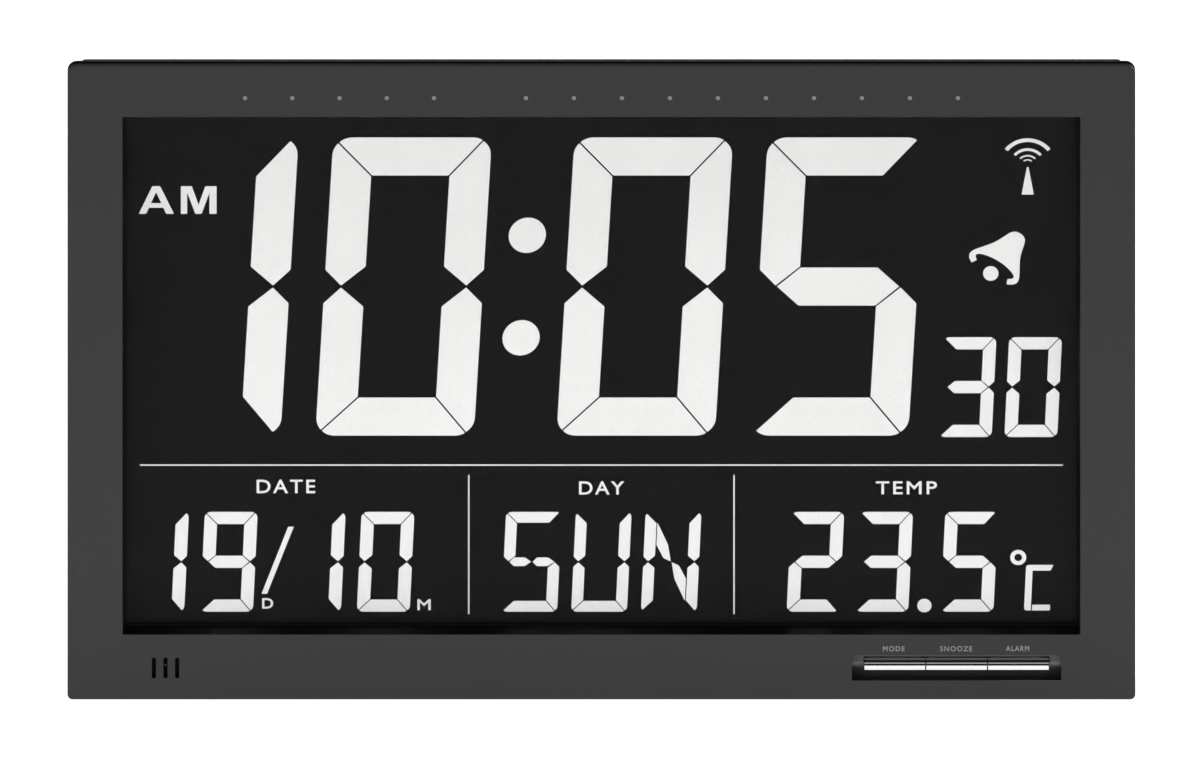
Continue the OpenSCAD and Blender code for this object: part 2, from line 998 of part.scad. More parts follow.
// Places on the display, from its centre line and the case's base
time_x = -26.6;
time_z = 147.1;
seconds_x = 137.5;
seconds_pitch = 22.6;
seconds_z = 110.6;
lower_z = 47.2;
divider_z = 82.3;
column_x = 45.7;
divider_end = 159;
column_low = 28.2;
column_gap = 3.6;
signal_x = 146.9;
signal_z = 190.9;
bell_x = 137.5;
bell_z = 157.8;
letter_w = 19.2;

// The display's artwork fills its view, with margins round the dividing line and the digits
divider_margin = 4.9;
artwork_margin_top = 9.1;
artwork_margin_bottom = 4.4;
artwork_w = 2 * (divider_end + divider_margin);
artwork_top = time_z + time_h / 2 + artwork_margin_top;
artwork_bottom = lower_z - small_h / 2 - artwork_margin_bottom;

module artwork() {
    fit = min(
        2 * view_x / artwork_w,
        (view_top - view_bottom) / (artwork_top - artwork_bottom)
    );
    plate(cell_y, cell_gap)
        translate([0, (view_top + view_bottom) / 2])
            scale(fit)
                translate([0, -(artwork_top + artwork_bottom) / 2])
                    children();
}

time_pitch = time_w + time_space;
time_places = [
    -colon_space / 2 - time_w / 2 - time_pitch, -colon_space / 2 - time_w / 2,
    colon_space / 2 + time_w / 2, colon_space / 2 + time_w / 2 + time_pitch
];

module time_digits() {
    shown = [1, 0, 0, 5];
    seconds = [3, 0];
    color(digit_white)
        artwork() {
            for (i = [0:3])
                digit(
                    shown[i], time_x + time_places[i], time_z,
                    time_w, time_h, time_stroke, segment_gap, digit_lean
                );
            leaning(time_z, digit_lean)
                for (up = [-1, 1])
                    translate([time_x, time_z + up * colon_rise])
                        circle(d = colon_dot_d);
            for (i = [0:1])
                small_digit(seconds[i], seconds_x + (i - 0.5) * seconds_pitch, seconds_z);
        }
}

// The weekday's letters, with the middle bar split in two
module letter(name, x) {
    w = letter_w;
    h = small_h;
    s = letter_stroke;
    g = small_gap;
    bar = s * 0.4;
    leaning(lower_z, small_lean)
        translate([x - w / 2, lower_z - h / 2]) {
            for (part = name == "S" ? "acdf" : name == "U" ? "bcdef" : "bcef")
                segment(part, w, h, s, g);
            if (name == "S")
                for (side = [0, 1])
                    translate([side * (w / 2 - s * 0.415), 0])
                        polygon([
                            [s * 0.415 + g, h / 2], [s * 0.9, h / 2 + bar],
                            [w / 2 - s * 0.6, h / 2 + bar], [w / 2 - g / 2, h / 2],
                            [w / 2 - s * 0.6, h / 2 - bar], [s * 0.9, h / 2 - bar]
                        ]);
            if (name == "N")
                for (turn = [0, 180])
                    translate([w / 2, h / 2])
                        rotate(turn)
                            polygon([
                                [-w / 2 + s + g, h / 2 - s], [-w / 2 + s + g, h * 0.17],
                                [-s * 0.7, s * 0.35], [-g / 2, g / 2], [-s * 0.35, h * 0.17]
                            ]);
        }
}

module lower_digits() {
    day_x = -140.2;
    month_x = -86.2;
    date_pitch = 23.7;
    letter_pitch = 24.05;
    degrees_x = 85.6;
    degrees_pitch = 23.7;
    tenths_x = 126.8;
    point_x = 111.3;
    point_z = 31.3;
    point_d = 4.9;
    ring_x = 143.8;
    ring_z = 48.6;
    ring_d = 5.5;
    ring_hole_d = 3.1;
    slash_x = -116.15;
    slash_low = 35.6;
    slash_w = 1.9;
    slash_h = 24.3;
    slash_lean = 9.2;
    unit_w = 9.2;
    unit_h = 16.5;
    unit_stroke = 2.3;
    unit_x = 150.6;
    unit_z = 37.8;
    color(digit_white)
        artwork() {
            for (i = [0, 1]) {
                small_digit([1, 9][i], day_x + (i - 0.5) * date_pitch, lower_z);
                small_digit([1, 0][i], month_x + (i - 0.5) * date_pitch, lower_z);
                small_digit([2, 3][i], degrees_x + (i - 0.5) * degrees_pitch, lower_z);
            }
            small_digit(5, tenths_x, lower_z);
            translate([slash_x, slash_low])
                polygon([
                    [-slash_w / 2, 0], [slash_w / 2, 0],
                    [slash_lean + slash_w / 2, slash_h], [slash_lean - slash_w / 2, slash_h]
                ]);
            for (i = [0:2])
                letter("SUN"[i], (i - 1) * letter_pitch);
            translate([point_x, point_z])
                circle(d = point_d);
            translate([ring_x, ring_z])
                difference() {
                    circle(d = ring_d);
                    circle(d = ring_hole_d);
                }
            leaning(unit_z, small_lean)
                translate([unit_x - unit_w / 2, unit_z - unit_h / 2]) {
                    square([unit_stroke, unit_h]);
                    for (z = [0, unit_h - unit_stroke])
                        translate([unit_stroke + small_gap / 2, z])
                            square([unit_w - unit_stroke, unit_stroke]);
                }
        }
}

// Four arcs over a mast
module signal_mark() {
    signal_r = 10;
    outer = signal_r * [0.24, 0.395, 0.64, 1];
    inner = signal_r * [0.195, 0.34, 0.545, 0.868];
    half_angles = [40, 45, 49, 52];
    mast_w = 4.2;
    mast_h = 10.4;
    reach = signal_r * 1.2;
    for (i = [0:3])
        intersection() {
            difference() {
                circle(outer[i]);
                circle(inner[i]);
            }
            polygon([
                [0, 0], [reach * tan(half_angles[i]), reach],
                [-reach * tan(half_angles[i]), reach]
            ]);
        }
    polygon([
        [-mast_w / 2, -mast_h], [mast_w / 2, -mast_h],
        [mast_w * 0.06, -mast_w * 0.1], [-mast_w * 0.06, -mast_w * 0.1]
    ]);
}

// A tilted bell with its clapper
// Rounds an outline by cutting its corners, apart from those that it holds twice
function cut_corners(outline) = [
    for (i = [0:len(outline) - 1])
        let (p = outline[i], q = outline[(i + 1) % len(outline)])
            each p == q ? [q] : [0.75 * p + 0.25 * q, 0.25 * p + 0.75 * q]
];

module bell_mark() {
    bell_h = 18;
    half = bell_h * [
        [0.05, 0.606], [0.144, 0.561], [0.189, 0.467], [0.233, 0.328], [0.294, 0.183],
        [0.383, 0.044], [0.494, -0.111], [0.539, -0.2], [0.539, -0.278], [0.5, -0.339],
        [0.4, -0.394], [0.4, -0.394], [0.35, -0.294], [0.35, -0.294], [0.406, -0.261],
        [0.433, -0.217], [0.4, -0.167],
        [0.283, -0.122], [0.111, -0.089]
    ];
    other = [for (i = [len(half) - 1:-1:0]) [-half[i][0], half[i][1]]];
    mouth = -bell_h * 0.39;
    slant = 0.06;
    clapper_d = 5.3;
    clapper_x = 0.5;
    rotate(-33.3) {
        polygon(cut_corners(cut_corners([
            for (p = concat(half, other)) [p[0] + slant * (p[1] - mouth), p[1]]
        ])));
        translate([clapper_x, -bell_h * 0.378])
            circle(d = clapper_d);
    }
}

module display_marks() {
    color(digit_white)
        artwork() {
            rect(-divider_end, divider_z - line_t / 2, divider_end, divider_z + line_t / 2);
            for (side = [-1, 1])
                rect(
                    side * column_x - line_t / 2, column_low,
                    side * column_x + line_t / 2, divider_z - column_gap
                );
            translate([signal_x, signal_z])
                signal_mark();
            translate([bell_x, bell_z])
                bell_mark();
        }
}

// Main board and what is on it

module main_board() {
    color(board_green)
        plate(main_board_y, board_t)
            difference() {
                rect(-main_board_x, main_board_bottom, main_board_x, main_board_top);
                for (p = main_screws_at)
                    translate(p)
                        circle(small_screw_r + thread_gap);
            }
}

module board_screws() {
    color(steel_grey) {
        for (p = main_screws_at)
            translate([p[0], main_board_y + board_t, p[1]])
                small_screw(small_screw_l);
        for (side = [-1, 1])
            translate([pocket_x + side * key_post_x, key_board_y + board_t, pocket_z])
                small_screw(small_screw_l);
        for (p = rear_screws_at)
            translate([p[0], rear_board_y, p[1]])
                rotate([0, 0, 180])
                    small_screw(small_screw_l);
    }
}

module chip_covers() {
    y = main_board_y + board_t;
    color(part_black)
        for (x = [chip_left_x, chip_right_x])
            translate([x, y, chip_z])
                rotate([-90, 0, 0]) {
                    cylinder(h = chip_t / 2, r1 = chip_r, r2 = chip_r * 0.86);
                    translate([0, 0, chip_t / 2])
                        cylinder(h = chip_t / 2, r1 = chip_r * 0.86, r2 = chip_r * 0.5);
                }
}

module clock_crystal() {
    color(steel_grey)
        rod_along_x(
            crystal_x, main_board_y + board_t + crystal_r, chip_z, crystal_l, crystal_r
        );
}

// Receiver and aerial

module receiver_board() {
    color(board_green) {
        plate(receiver_y, board_t)
            rect(
                receiver_x - receiver_w / 2, receiver_z - receiver_h / 2,
                receiver_x + receiver_w / 2, receiver_z + receiver_h / 2
            );
    }
    color(part_black)
        for (side = [-1, 1])
            rod_along_y(
                receiver_x + side * (receiver_w / 2 - 2.5), receiver_z,
                face_t, receiver_y - face_t + EPS, 2
            );
}

module receiver_chip() {
    color(part_black)
        box(
            receiver_x - 3, receiver_x + 3, receiver_y - 1.4, receiver_y,
            receiver_z - 2.2, receiver_z + 2.2
        );
}

module ferrite_rod() {
    color(part_black)
        rod_along_x(rod_x - rod_l / 2, rod_y, rod_z, rod_l, rod_r);
}

module antenna_coil() {
    color(brass_yellow)
        difference() {
            rod_along_x(rod_x - coil_l / 2, rod_y, rod_z, coil_l, coil_r);
            rod_along_x(
                rod_x - coil_l / 2 - 1, rod_y, rod_z, coil_l + 2, rod_r + pin_gap
            );
        }
}

module antenna_clips() {
    outer = rod_r + clip_gap + clip_wall;
    color(part_black)
        for (side = [-1, 1])
            let (x = rod_x + side * (rod_l / 2 - 5) - clip_w / 2)
            difference() {
                union() {
                    rod_along_x(x, rod_y, rod_z, clip_w, outer);
                    box(x, x + clip_w, face_t, rod_y, rod_z - 2.5, rod_z + 2.5);
                }
                rod_along_x(x - 1, rod_y, rod_z, clip_w + 2, rod_r + clip_gap);
            }
}

// Temperature sensor

module sensor_board() {
    color(board_green)
        plate(sensor_y, sensor_t)
            rect(
                vent_x - sensor_w / 2, vent_z - sensor_h / 2,
                vent_x + sensor_w / 2, vent_z + sensor_h / 2
            );
}

module thermistor() {
    lead_r = 0.25;
    color(part_black) {
        translate([vent_x, bead_y, vent_z])
            sphere(bead_r);
        for (side = [-1, 1])
            rod_along_y(vent_x + side * 0.6, vent_z, bead_y, sensor_y - bead_y, lead_r);
    }
}

module signal_wires() {
    wire_r = 0.5;
    low = bottom_holder_post_z - holder_post_r - 1.2;
    up_y = holder_back + 1;
    wire_end = 0.6;
    rise = main_board_bottom + 4;
    receiver_back = receiver_y + board_t;
    sensor_back = sensor_y + sensor_t;
    receiver_wire_x = receiver_x - receiver_w / 2 + 2;
    sensor_wire_x = vent_x + sensor_w / 2 + 4.5;
    color("#7a2a2a") {
        wire([
            [receiver_wire_x, receiver_back, low], [receiver_wire_x, up_y - 1, low],
            [receiver_wire_x, up_y, low + 1.5], [receiver_wire_x, up_y, rise - 1],
            [receiver_wire_x, main_board_y - wire_end, rise],
            [receiver_wire_x, main_board_y, rise]
        ], wire_r, [1, 0, 0]);
        wire([
            [vent_x, sensor_back, low], [vent_x, up_y - 1, low],
            [vent_x + 1, up_y, low + 2], [sensor_wire_x, up_y, 2 * low],
            [sensor_wire_x, up_y, rise - 1],
            [sensor_wire_x, main_board_y - wire_end, rise],
            [sensor_wire_x, main_board_y, rise]
        ], wire_r, [0.9, 0.1, 0.42]);
    }
}

// Buzzer

module piezo_disc() {
    color(brass_yellow)
        rod_along_y(buzzer_x, buzzer_z, piezo_y, piezo_t, piezo_r);
}

module piezo_ceramic() {
    color("#d8d4c8")
        rod_along_y(buzzer_x, buzzer_z, piezo_y - ceramic_t, ceramic_t, ceramic_r);
}

module buzzer_wires() {
    wire_r = 0.4;
    board_back = main_board_y + board_t;
    rise = main_board_bottom + 8;
    color("#7a2a2a")
        for (side = [0, 1])
            let (
                x = buzzer_x + side * 4,
                y = side == 0 ? piezo_y : piezo_y - ceramic_t,
                z = buzzer_z + (side == 0 ? 11.5 : 4)
            )
            wire([
                [x, y, z], [x, y - 0.8, z], [x, y - 2.5, z + 1.5],
                [x, board_back + 2.5, rise - 2], [x, board_back + 1, rise], [x, board_back, rise]
            ], wire_r, [1, 0, 0]);
}

// Rear keys

function rear_key_at(i) = rear_key_x + (i - (rear_key_count - 1) / 2) * rear_key_pitch;

module rear_key(i) {
    x = rear_key_at(i);
    color(frame_grey)
        union() {
            rod_along_y(x, rear_key_z, rear_flange_y, rear_flange_t, rear_flange_r);
            rod_along_y(
                x, rear_key_z, rear_flange_y, rear_key_end - rear_flange_y, rear_key_d / 2
            );
        }
}

module rear_plunger(i) {
    color(part_black)
        rod_along_y(
            rear_key_at(i), rear_key_z, rear_flange_y - plunger_l, plunger_l, plunger_r
        );
}

module rear_switches() {
    color(steel_grey)
        for (i = [0:rear_key_count - 1])
            translate([rear_key_at(i), rear_switch_y + switch_t, rear_key_z])
                rotate([0, 0, 180])
                    push_switch();
}

module rear_key_board() {
    color(board_green)
        plate(rear_board_y, board_t)
            difference() {
                rect(
                    rear_key_x - rear_board_w / 2, rear_key_z - rear_board_h / 2,
                    rear_key_x + rear_board_w / 2, rear_key_z + rear_board_h / 2
                );
                for (p = rear_screws_at)
                    translate(p)
                        circle(small_screw_r + thread_gap);
            }
}

module rear_ribbon() {
    t = ribbon_t;
    board_back = main_board_y + board_t;
    low = rear_key_z + 2;
    high = rear_key_z + rear_board_h / 2 + 2;
    color(steel_grey)
        along_x(rear_key_x - 5, rear_key_x + 5)
            polygon([
                [rear_board_y, low], [rear_board_y, high], [board_back + t, main_board_bottom + 1],
                [board_back + t, main_board_bottom + 8], [board_back, main_board_bottom + 8],
                [board_back, main_board_bottom + 0.6], [rear_board_y - t, high - 0.3],
                [rear_board_y - t, low]
            ]);
}

// Rear cover

// The cover's outer form, or its inner form when wall is its thickness
module cover_form(wall) {
    x = cover_x - wall;
    top = cover_top - wall;
    bottom = wall;
    back = case_d - wall;
    slope_start = case_d - slope_d - wall * 0.4;
    front = rim_d + shell_gap;
    intersection() {
        plate(front, back - front)
            panel(-x, bottom, x, top, 0.4, cover_corner_r);
        along_x(-half_w, half_w)
            polygon([
                [front, 0], [back, 0], [back, top - slope_in], [slope_start, top], [front, top]
            ]);
        along_z(0, case_h)
            polygon([
                [-x, front], [x, front], [x, slope_start], [x - slope_in, back],
                [-x + slope_in, back], [-x, slope_start]
            ]);
    }
}

module keyhole(x) {
    plate(back_in - EPS, cover_wall + 2 * EPS) {
        translate([x, hanger_z])
            circle(hanger_r);
        translate([x - hanger_slot_r, hanger_z])
            square([2 * hanger_slot_r, hanger_slot_l]);
        translate([x, hanger_z + hanger_slot_l])
            circle(hanger_slot_r);
    }
}

// The closed room behind a keyhole, which a screw's head slides up in
module keyhole_room(x, grow) {
    side = hanger_r + 1.5 + grow;
    box(
        x - side, x + side, back_in - hanger_room - grow, back_in + EPS,
        hanger_z - hanger_r - 1.5 - grow, hanger_z + hanger_slot_l + hanger_r + 1 + grow
    );
}

module foot_recess(side, grow) {
    x0 = foot_axis_x + foot_barrel_r + slide_gap + 0.4 + grow;
    x1 = foot_axis_x - foot_l - slide_gap - grow;
    z1 = foot_floor_gap + foot_h + slide_gap + grow;
    box(
        min(side * x0, side * x1), max(side * x0, side * x1),
        foot_recess_y - grow, case_d + 1, -1, z1
    );
}

// The two ears that hold a foot's pins
module foot_ears(side) {
    lows = [barrel_bottom - slide_gap - foot_ear_t, barrel_top + slide_gap];
    for (z = lows)
        difference() {
            union() {
                translate([side * foot_axis_x, foot_axis_y, z])
                    cylinder(h = foot_ear_t, r = foot_barrel_r);
                box(
                    side * foot_axis_x - foot_barrel_r, side * foot_axis_x + foot_barrel_r,
                    foot_recess_y - EPS, foot_axis_y, z, z + foot_ear_t
                );
            }
            translate([side * foot_axis_x, foot_axis_y, z - 1])
                cylinder(h = foot_ear_t + 2, r = foot_pin_r + pin_gap);
        }
}

module cover_shell() {
    step_t = 2;
    difference() {
        union() {
            cover_form(0);
            plate(rim_d - flange_t, flange_t)
                case_outline(flange_in);
            plate(rim_d - flange_t, flange_t + shell_gap + EPS)
                rect(-cover_x, flange_in, cover_x, cover_top);
        }
        cover_form(cover_wall);
        plate(rim_d - flange_t - EPS, flange_t + shell_gap + 2 * EPS)
            rect(-inner_x, flange_low, inner_x, inner_top);
    }
    plate(rim_d + shell_gap, step_t)
        rect(-inner_x, cover_wall - EPS, inner_x, flange_low);
}

module rear_cover() {
    door_ledge_y = case_d - door_t - door_seat_gap;
    color(cover_grey)
        difference() {
            union() {
                cover_shell();
                intersection() {
                    cover_form(0);
                    union() {
                        for (p = case_screws_at)
                            rod_along_y(p[0], p[1], post_end, case_d - post_end, column_r);
                        box(
                            -bay_x - bay_wall, bay_x + bay_wall,
                            bay_floor_y - bay_floor_t, back_in + EPS,
                            bay_bottom - bay_wall, bay_top + bay_wall
                        );
                        box(
                            -door_x - door_boss_l, door_x + door_boss_l,
                            door_ledge_y - 2, back_in + EPS,
                            door_bottom - 2, door_top + 2
                        );
                        for (side = [-1, 1]) {
                            keyhole_room(side * hanger_pitch / 2, hanger_wall);
                            foot_recess(side, foot_recess_wall);
                        }
                        for (p = rear_screws_at)
                            rod_along_y(
                                p[0], p[1], rear_board_y + board_t,
                                back_in - rear_board_y - board_t + EPS, holder_post_r
                            );
                        box(
                            rear_key_x - panel_w / 2 - cover_wall,
                            rear_key_x + panel_w / 2 + cover_wall,
                            panel_in, back_in + EPS,
                            rear_key_z - panel_h / 2 - cover_wall,
                            rear_key_z + panel_h / 2 + cover_wall
                        );
                        rod_along_y(
                            buzzer_x, buzzer_z, back_in - buzzer_ring_h,
                            buzzer_ring_h + EPS, buzzer_ring_r
                        );
                    }
                }
            }
            for (p = case_screws_at) {
                rod_along_y(p[0], p[1], post_end - 1, case_d, case_screw_r + seat_gap);
                rod_along_y(
                    p[0], p[1], post_end + column_bottom_t, case_d, case_screw_well_r
                );
            }
            box(-bay_x, bay_x, bay_floor_y, case_d + 1, bay_bottom, bay_top);
            box(
                -door_x - door_gap, door_x + door_gap, door_ledge_y, case_d + 1,
                door_bottom - door_gap, door_top + door_gap
            );
            rod_along_x(
                -door_x - door_gap, door_axis_y, door_axis_z,
                2 * (door_x + door_gap), door_barrel_r + door_gap
            );
            rod_along_x(
                -door_x - door_pin_l - 0.4, door_axis_y, door_axis_z,
                2 * (door_x + door_pin_l + 0.4), door_pin_r + pin_gap
            );
            thumb_notch();
            battery_wire_holes();
            for (side = [-1, 1]) {
                keyhole(side * hanger_pitch / 2);
                keyhole_room(side * hanger_pitch / 2, 0);
                foot_recess(side, 0);
            }
            box(
                rear_key_x - panel_w / 2, rear_key_x + panel_w / 2,
                case_d - panel_d, case_d + 1,
                rear_key_z - panel_h / 2, rear_key_z + panel_h / 2
            );
            for (i = [0:rear_key_count - 1])
                rod_along_y(
                    rear_key_at(i), rear_key_z, panel_in - 1, case_d,
                    rear_key_d / 2 + slide_gap
                );
            for (p = rear_screws_at)
                rod_along_y(
                    p[0], p[1], rear_board_y, small_screw_l + 0.4, small_screw_r + thread_gap
                );
            rod_along_y(
                buzzer_x, buzzer_z, back_in - buzzer_ring_h - 1, buzzer_ring_h + 1,
                buzzer_ring_r - buzzer_ring_wall
            );
            rod_along_y(buzzer_x, buzzer_z, back_in - 1, cover_wall + 2, sound_hole_r);
            for (k = [0:5])
                rod_along_y(
                    buzzer_x + sound_hole_circle * cos(60 * k),
                    buzzer_z + sound_hole_circle * sin(60 * k),
                    back_in - 1, cover_wall + 2, sound_hole_r
                );
        }
    color(cover_grey)
        for (side = [-1, 1])
            foot_ears(side);
}

// Room for a thumb at the battery door's upper edge
module thumb_notch() {
    translate([0, case_d + 3, door_top])
        sphere(6);
}

module battery_wire_holes() {
    for (side = [-1, 1])
        translate([side * (bay_x - 1.6), bay_floor_y + 4, bay_top - 1])
            cylinder(h = bay_wall + 2, r = 1.1);
}

module battery_door() {
    clip_z = bay_top - slide_gap - door_clip_t;
    color(cover_grey)
        difference() {
            union() {
                box(
                    -door_x, door_x, case_d - door_t, case_d, door_axis_z, door_top
                );
                rod_along_x(-door_x, door_axis_y, door_axis_z, 2 * door_x, door_barrel_r);
                rod_along_x(
                    -door_x - door_pin_l, door_axis_y, door_axis_z,
                    2 * (door_x + door_pin_l), door_pin_r
                );
                box(
                    -door_clip_w / 2, door_clip_w / 2, case_d - door_t - door_clip_d,
                    case_d - door_t + EPS, clip_z, clip_z + door_clip_t
                );
            }
            thumb_notch();
        }
}

// Batteries

function cell_z(i) = bay_bottom + 0.3 + cell_pitch * (i + 0.5);
function cell_side(i) = i % 2 == 0 ? 1 : -1;

module battery_cells() {
    nub_r = 2.7;
    body_l = cell_l - nub_l;
    for (i = [0:cell_count - 1]) {
        side = cell_side(i);
        color("#c8803c")
            translate([0, cell_axis_y, cell_z(i)])
                mirror([side < 0 ? 1 : 0, 0, 0])
                    union() {
                        rod_along_x(-cell_l / 2, 0, 0, body_l, cell_d / 2);
                        rod_along_x(-cell_l / 2, 0, 0, cell_l, nub_r);
                    }
    }
}

module battery_springs() {
    color(steel_grey)
        for (i = [0:cell_count - 1])
            translate([-cell_side(i) * cell_l / 2, cell_axis_y, cell_z(i)])
                rotate([0, -90 * cell_side(i), 0])
                    cylinder(h = contact_l, r1 = spring_small_r, r2 = spring_large_r);
}

module contact_plates() {
    half = 5.6;
    pad_r = 2.4;
    color(steel_grey)
        for (i = [0:cell_count - 1], side = [-1, 1])
            let (x = side * (bay_x - plate_t / 2)) {
                translate([x, cell_axis_y, cell_z(i)])
                    cube([plate_t, 2 * half, 2 * half], center = true);
                if (side == cell_side(i))
                    rod_along_x(
                        side > 0 ? cell_l / 2 : -cell_l / 2 - contact_l,
                        cell_axis_y, cell_z(i), contact_l, pad_r
                    );
            }
}

module battery_wires() {
    wire_r = 0.6;
    back = main_board_y + board_t;
    y = bay_floor_y + 4;
    top_cell_z = cell_z(cell_count - 1);
    rise = main_board_bottom + 4;
    color("#a03030")
        for (side = [-1, 1])
            let (x = side * (bay_x - 1.6))
            wire([
                [x, y, top_cell_z + 6.2], [x, y, bay_top + bay_wall + 2],
                [x, back + 3, rise - 10], [x, back + 1.4, rise], [x, back, rise]
            ], wire_r, [1, 0, 0]);
}

// Feet

module stand_foot(side) {
    low = foot_floor_gap;
    high = foot_floor_gap + foot_h;
    x_axis = foot_axis_x;
    color(cover_grey)
        mirror([side < 0 ? 1 : 0, 0, 0])
            difference() {
                union() {
                    box(
                        x_axis - foot_l, x_axis - foot_neck,
                        foot_axis_y - foot_t / 2, foot_axis_y + foot_t / 2, low, high
                    );
                    box(
                        x_axis - foot_neck - EPS, x_axis,
                        foot_axis_y - foot_t / 2, foot_axis_y + foot_t / 2,
                        barrel_bottom, barrel_top
                    );
                    translate([x_axis, foot_axis_y, barrel_bottom])
                        cylinder(h = barrel_top - barrel_bottom, r = foot_barrel_r);
                    translate([x_axis, foot_axis_y, barrel_bottom - foot_pin_l])
                        cylinder(
                            h = barrel_top - barrel_bottom + 2 * foot_pin_l, r = foot_pin_r
                        );
                }
                translate([x_axis - foot_l, foot_axis_y + foot_t / 2 + 3, low + foot_h * 0.6])
                    sphere(5.5);
            }
}

module case_screws() {
    color(steel_grey)
        for (p = case_screws_at)
            translate([p[0], post_end + column_bottom_t, p[1]])
                screw(
                    case_screw_r, case_screw_grip + column_bottom_t,
                    case_screw_head_r, case_screw_head_t
                );
}

placed() front_frame();
placed() front_key(0);  // mode_key
placed() front_key(1);  // snooze_key
placed() front_key(2);  // alarm_key
placed() front_plunger(0);  // mode_plunger
placed() front_plunger(1);  // snooze_plunger
placed() front_plunger(2);  // alarm_plunger
placed() key_switches();
placed() key_board();
placed() key_ribbon();
placed() display_gasket();
placed() front_film();
placed() front_glass();
placed() cell_seal();
placed() time_digits();
placed() lower_digits();
placed() display_marks();
placed() rear_glass();
placed() rear_film();
placed() contact_strip();
placed() display_holder();
placed() holder_screws();
placed() main_board();
placed() board_screws();
placed() chip_covers();
placed() clock_crystal();
placed() receiver_board();
placed() receiver_chip();
placed() ferrite_rod();
placed() antenna_coil();
placed() antenna_clips();
placed() sensor_board();
placed() thermistor();
placed() signal_wires();
placed() piezo_disc();
placed() piezo_ceramic();
placed() buzzer_wires();
placed() rear_key_board();
placed() rear_switches();
placed() rear_ribbon();
placed() rear_key(0);  // set_key
placed() rear_key(1);  // plus_key
placed() rear_key(2);  // minus_key
placed() rear_key(3);  // unit_key
placed() rear_plunger(0);  // set_plunger
placed() rear_plunger(1);  // plus_plunger
placed() rear_plunger(2);  // minus_plunger
placed() rear_plunger(3);  // unit_plunger
placed() rear_cover();
placed() battery_door();
placed() battery_cells();
placed() battery_springs();
placed() contact_plates();
placed() battery_wires();
placed() stand_foot(-1);  // stand_foot_left
placed() stand_foot(1);  // stand_foot_right
placed() case_screws();
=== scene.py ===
import json
import math

import bmesh
import bpy
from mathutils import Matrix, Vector

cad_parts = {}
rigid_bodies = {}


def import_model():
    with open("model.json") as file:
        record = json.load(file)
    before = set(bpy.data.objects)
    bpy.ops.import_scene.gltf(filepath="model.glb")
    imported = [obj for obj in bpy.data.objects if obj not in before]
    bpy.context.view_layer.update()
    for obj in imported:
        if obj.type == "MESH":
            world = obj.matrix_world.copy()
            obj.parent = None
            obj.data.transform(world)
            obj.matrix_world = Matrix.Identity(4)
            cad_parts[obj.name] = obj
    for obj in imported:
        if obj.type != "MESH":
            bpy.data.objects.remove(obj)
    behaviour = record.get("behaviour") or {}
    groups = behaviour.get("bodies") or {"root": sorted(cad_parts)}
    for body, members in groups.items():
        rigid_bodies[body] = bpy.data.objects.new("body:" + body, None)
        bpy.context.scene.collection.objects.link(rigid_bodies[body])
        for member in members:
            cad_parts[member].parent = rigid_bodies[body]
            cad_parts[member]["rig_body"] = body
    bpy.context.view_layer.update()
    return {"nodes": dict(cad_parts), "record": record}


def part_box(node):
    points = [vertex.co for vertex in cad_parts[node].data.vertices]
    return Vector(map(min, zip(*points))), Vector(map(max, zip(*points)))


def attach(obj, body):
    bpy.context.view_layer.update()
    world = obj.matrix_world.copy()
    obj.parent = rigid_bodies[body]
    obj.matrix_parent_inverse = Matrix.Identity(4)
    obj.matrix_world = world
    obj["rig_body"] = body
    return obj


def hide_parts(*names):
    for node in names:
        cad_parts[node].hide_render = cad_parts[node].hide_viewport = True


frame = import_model()
cadNodes = frame["nodes"]
mm = 0.001
faceY = -15 * mm  # the front face, which depths are counted from
sharpAngle = math.radians(28)  # an edge that turns more stays crisp, or is rounded
flatAngle = math.radians(0.5)  # and faces that turn less are one
mergeMm = {"made": 0.003, "copied": 0.002, "printed": 0.0002}  # corners closer than this are one
print("frame loaded:", len(cadNodes), "nodes")


def linear(hexColor):
    parts = [int(hexColor[i:i + 2], 16) / 255 for i in (1, 3, 5)]
    return [c / 12.92 if c <= 0.04045 else ((c + 0.055) / 1.055) ** 2.4 for c in parts] + [1]


def addNode(tree, kind, settings=None, links=None):
    node = tree.nodes.new(kind)
    for key, value in (settings or {}).items():
        if isinstance(key, int) or key in node.inputs:
            node.inputs[key].default_value = value
        else:
            setattr(node, key, value)
    for key, source in (links or {}).items():
        tree.links.new(source, node.inputs[key])
    return node


def newMaterial(name):
    material = bpy.data.materials.new(name)
    material.use_nodes = True
    material.node_tree.nodes.clear()
    return material, material.node_tree


grainPlan = {  # what the opaque finishes share: slow handling marks, and how the grain spreads
    "cloudMm": 60, "cloudShare": 0.4, "rough": 0.55, "from": 0.45, "to": 0.95,
}


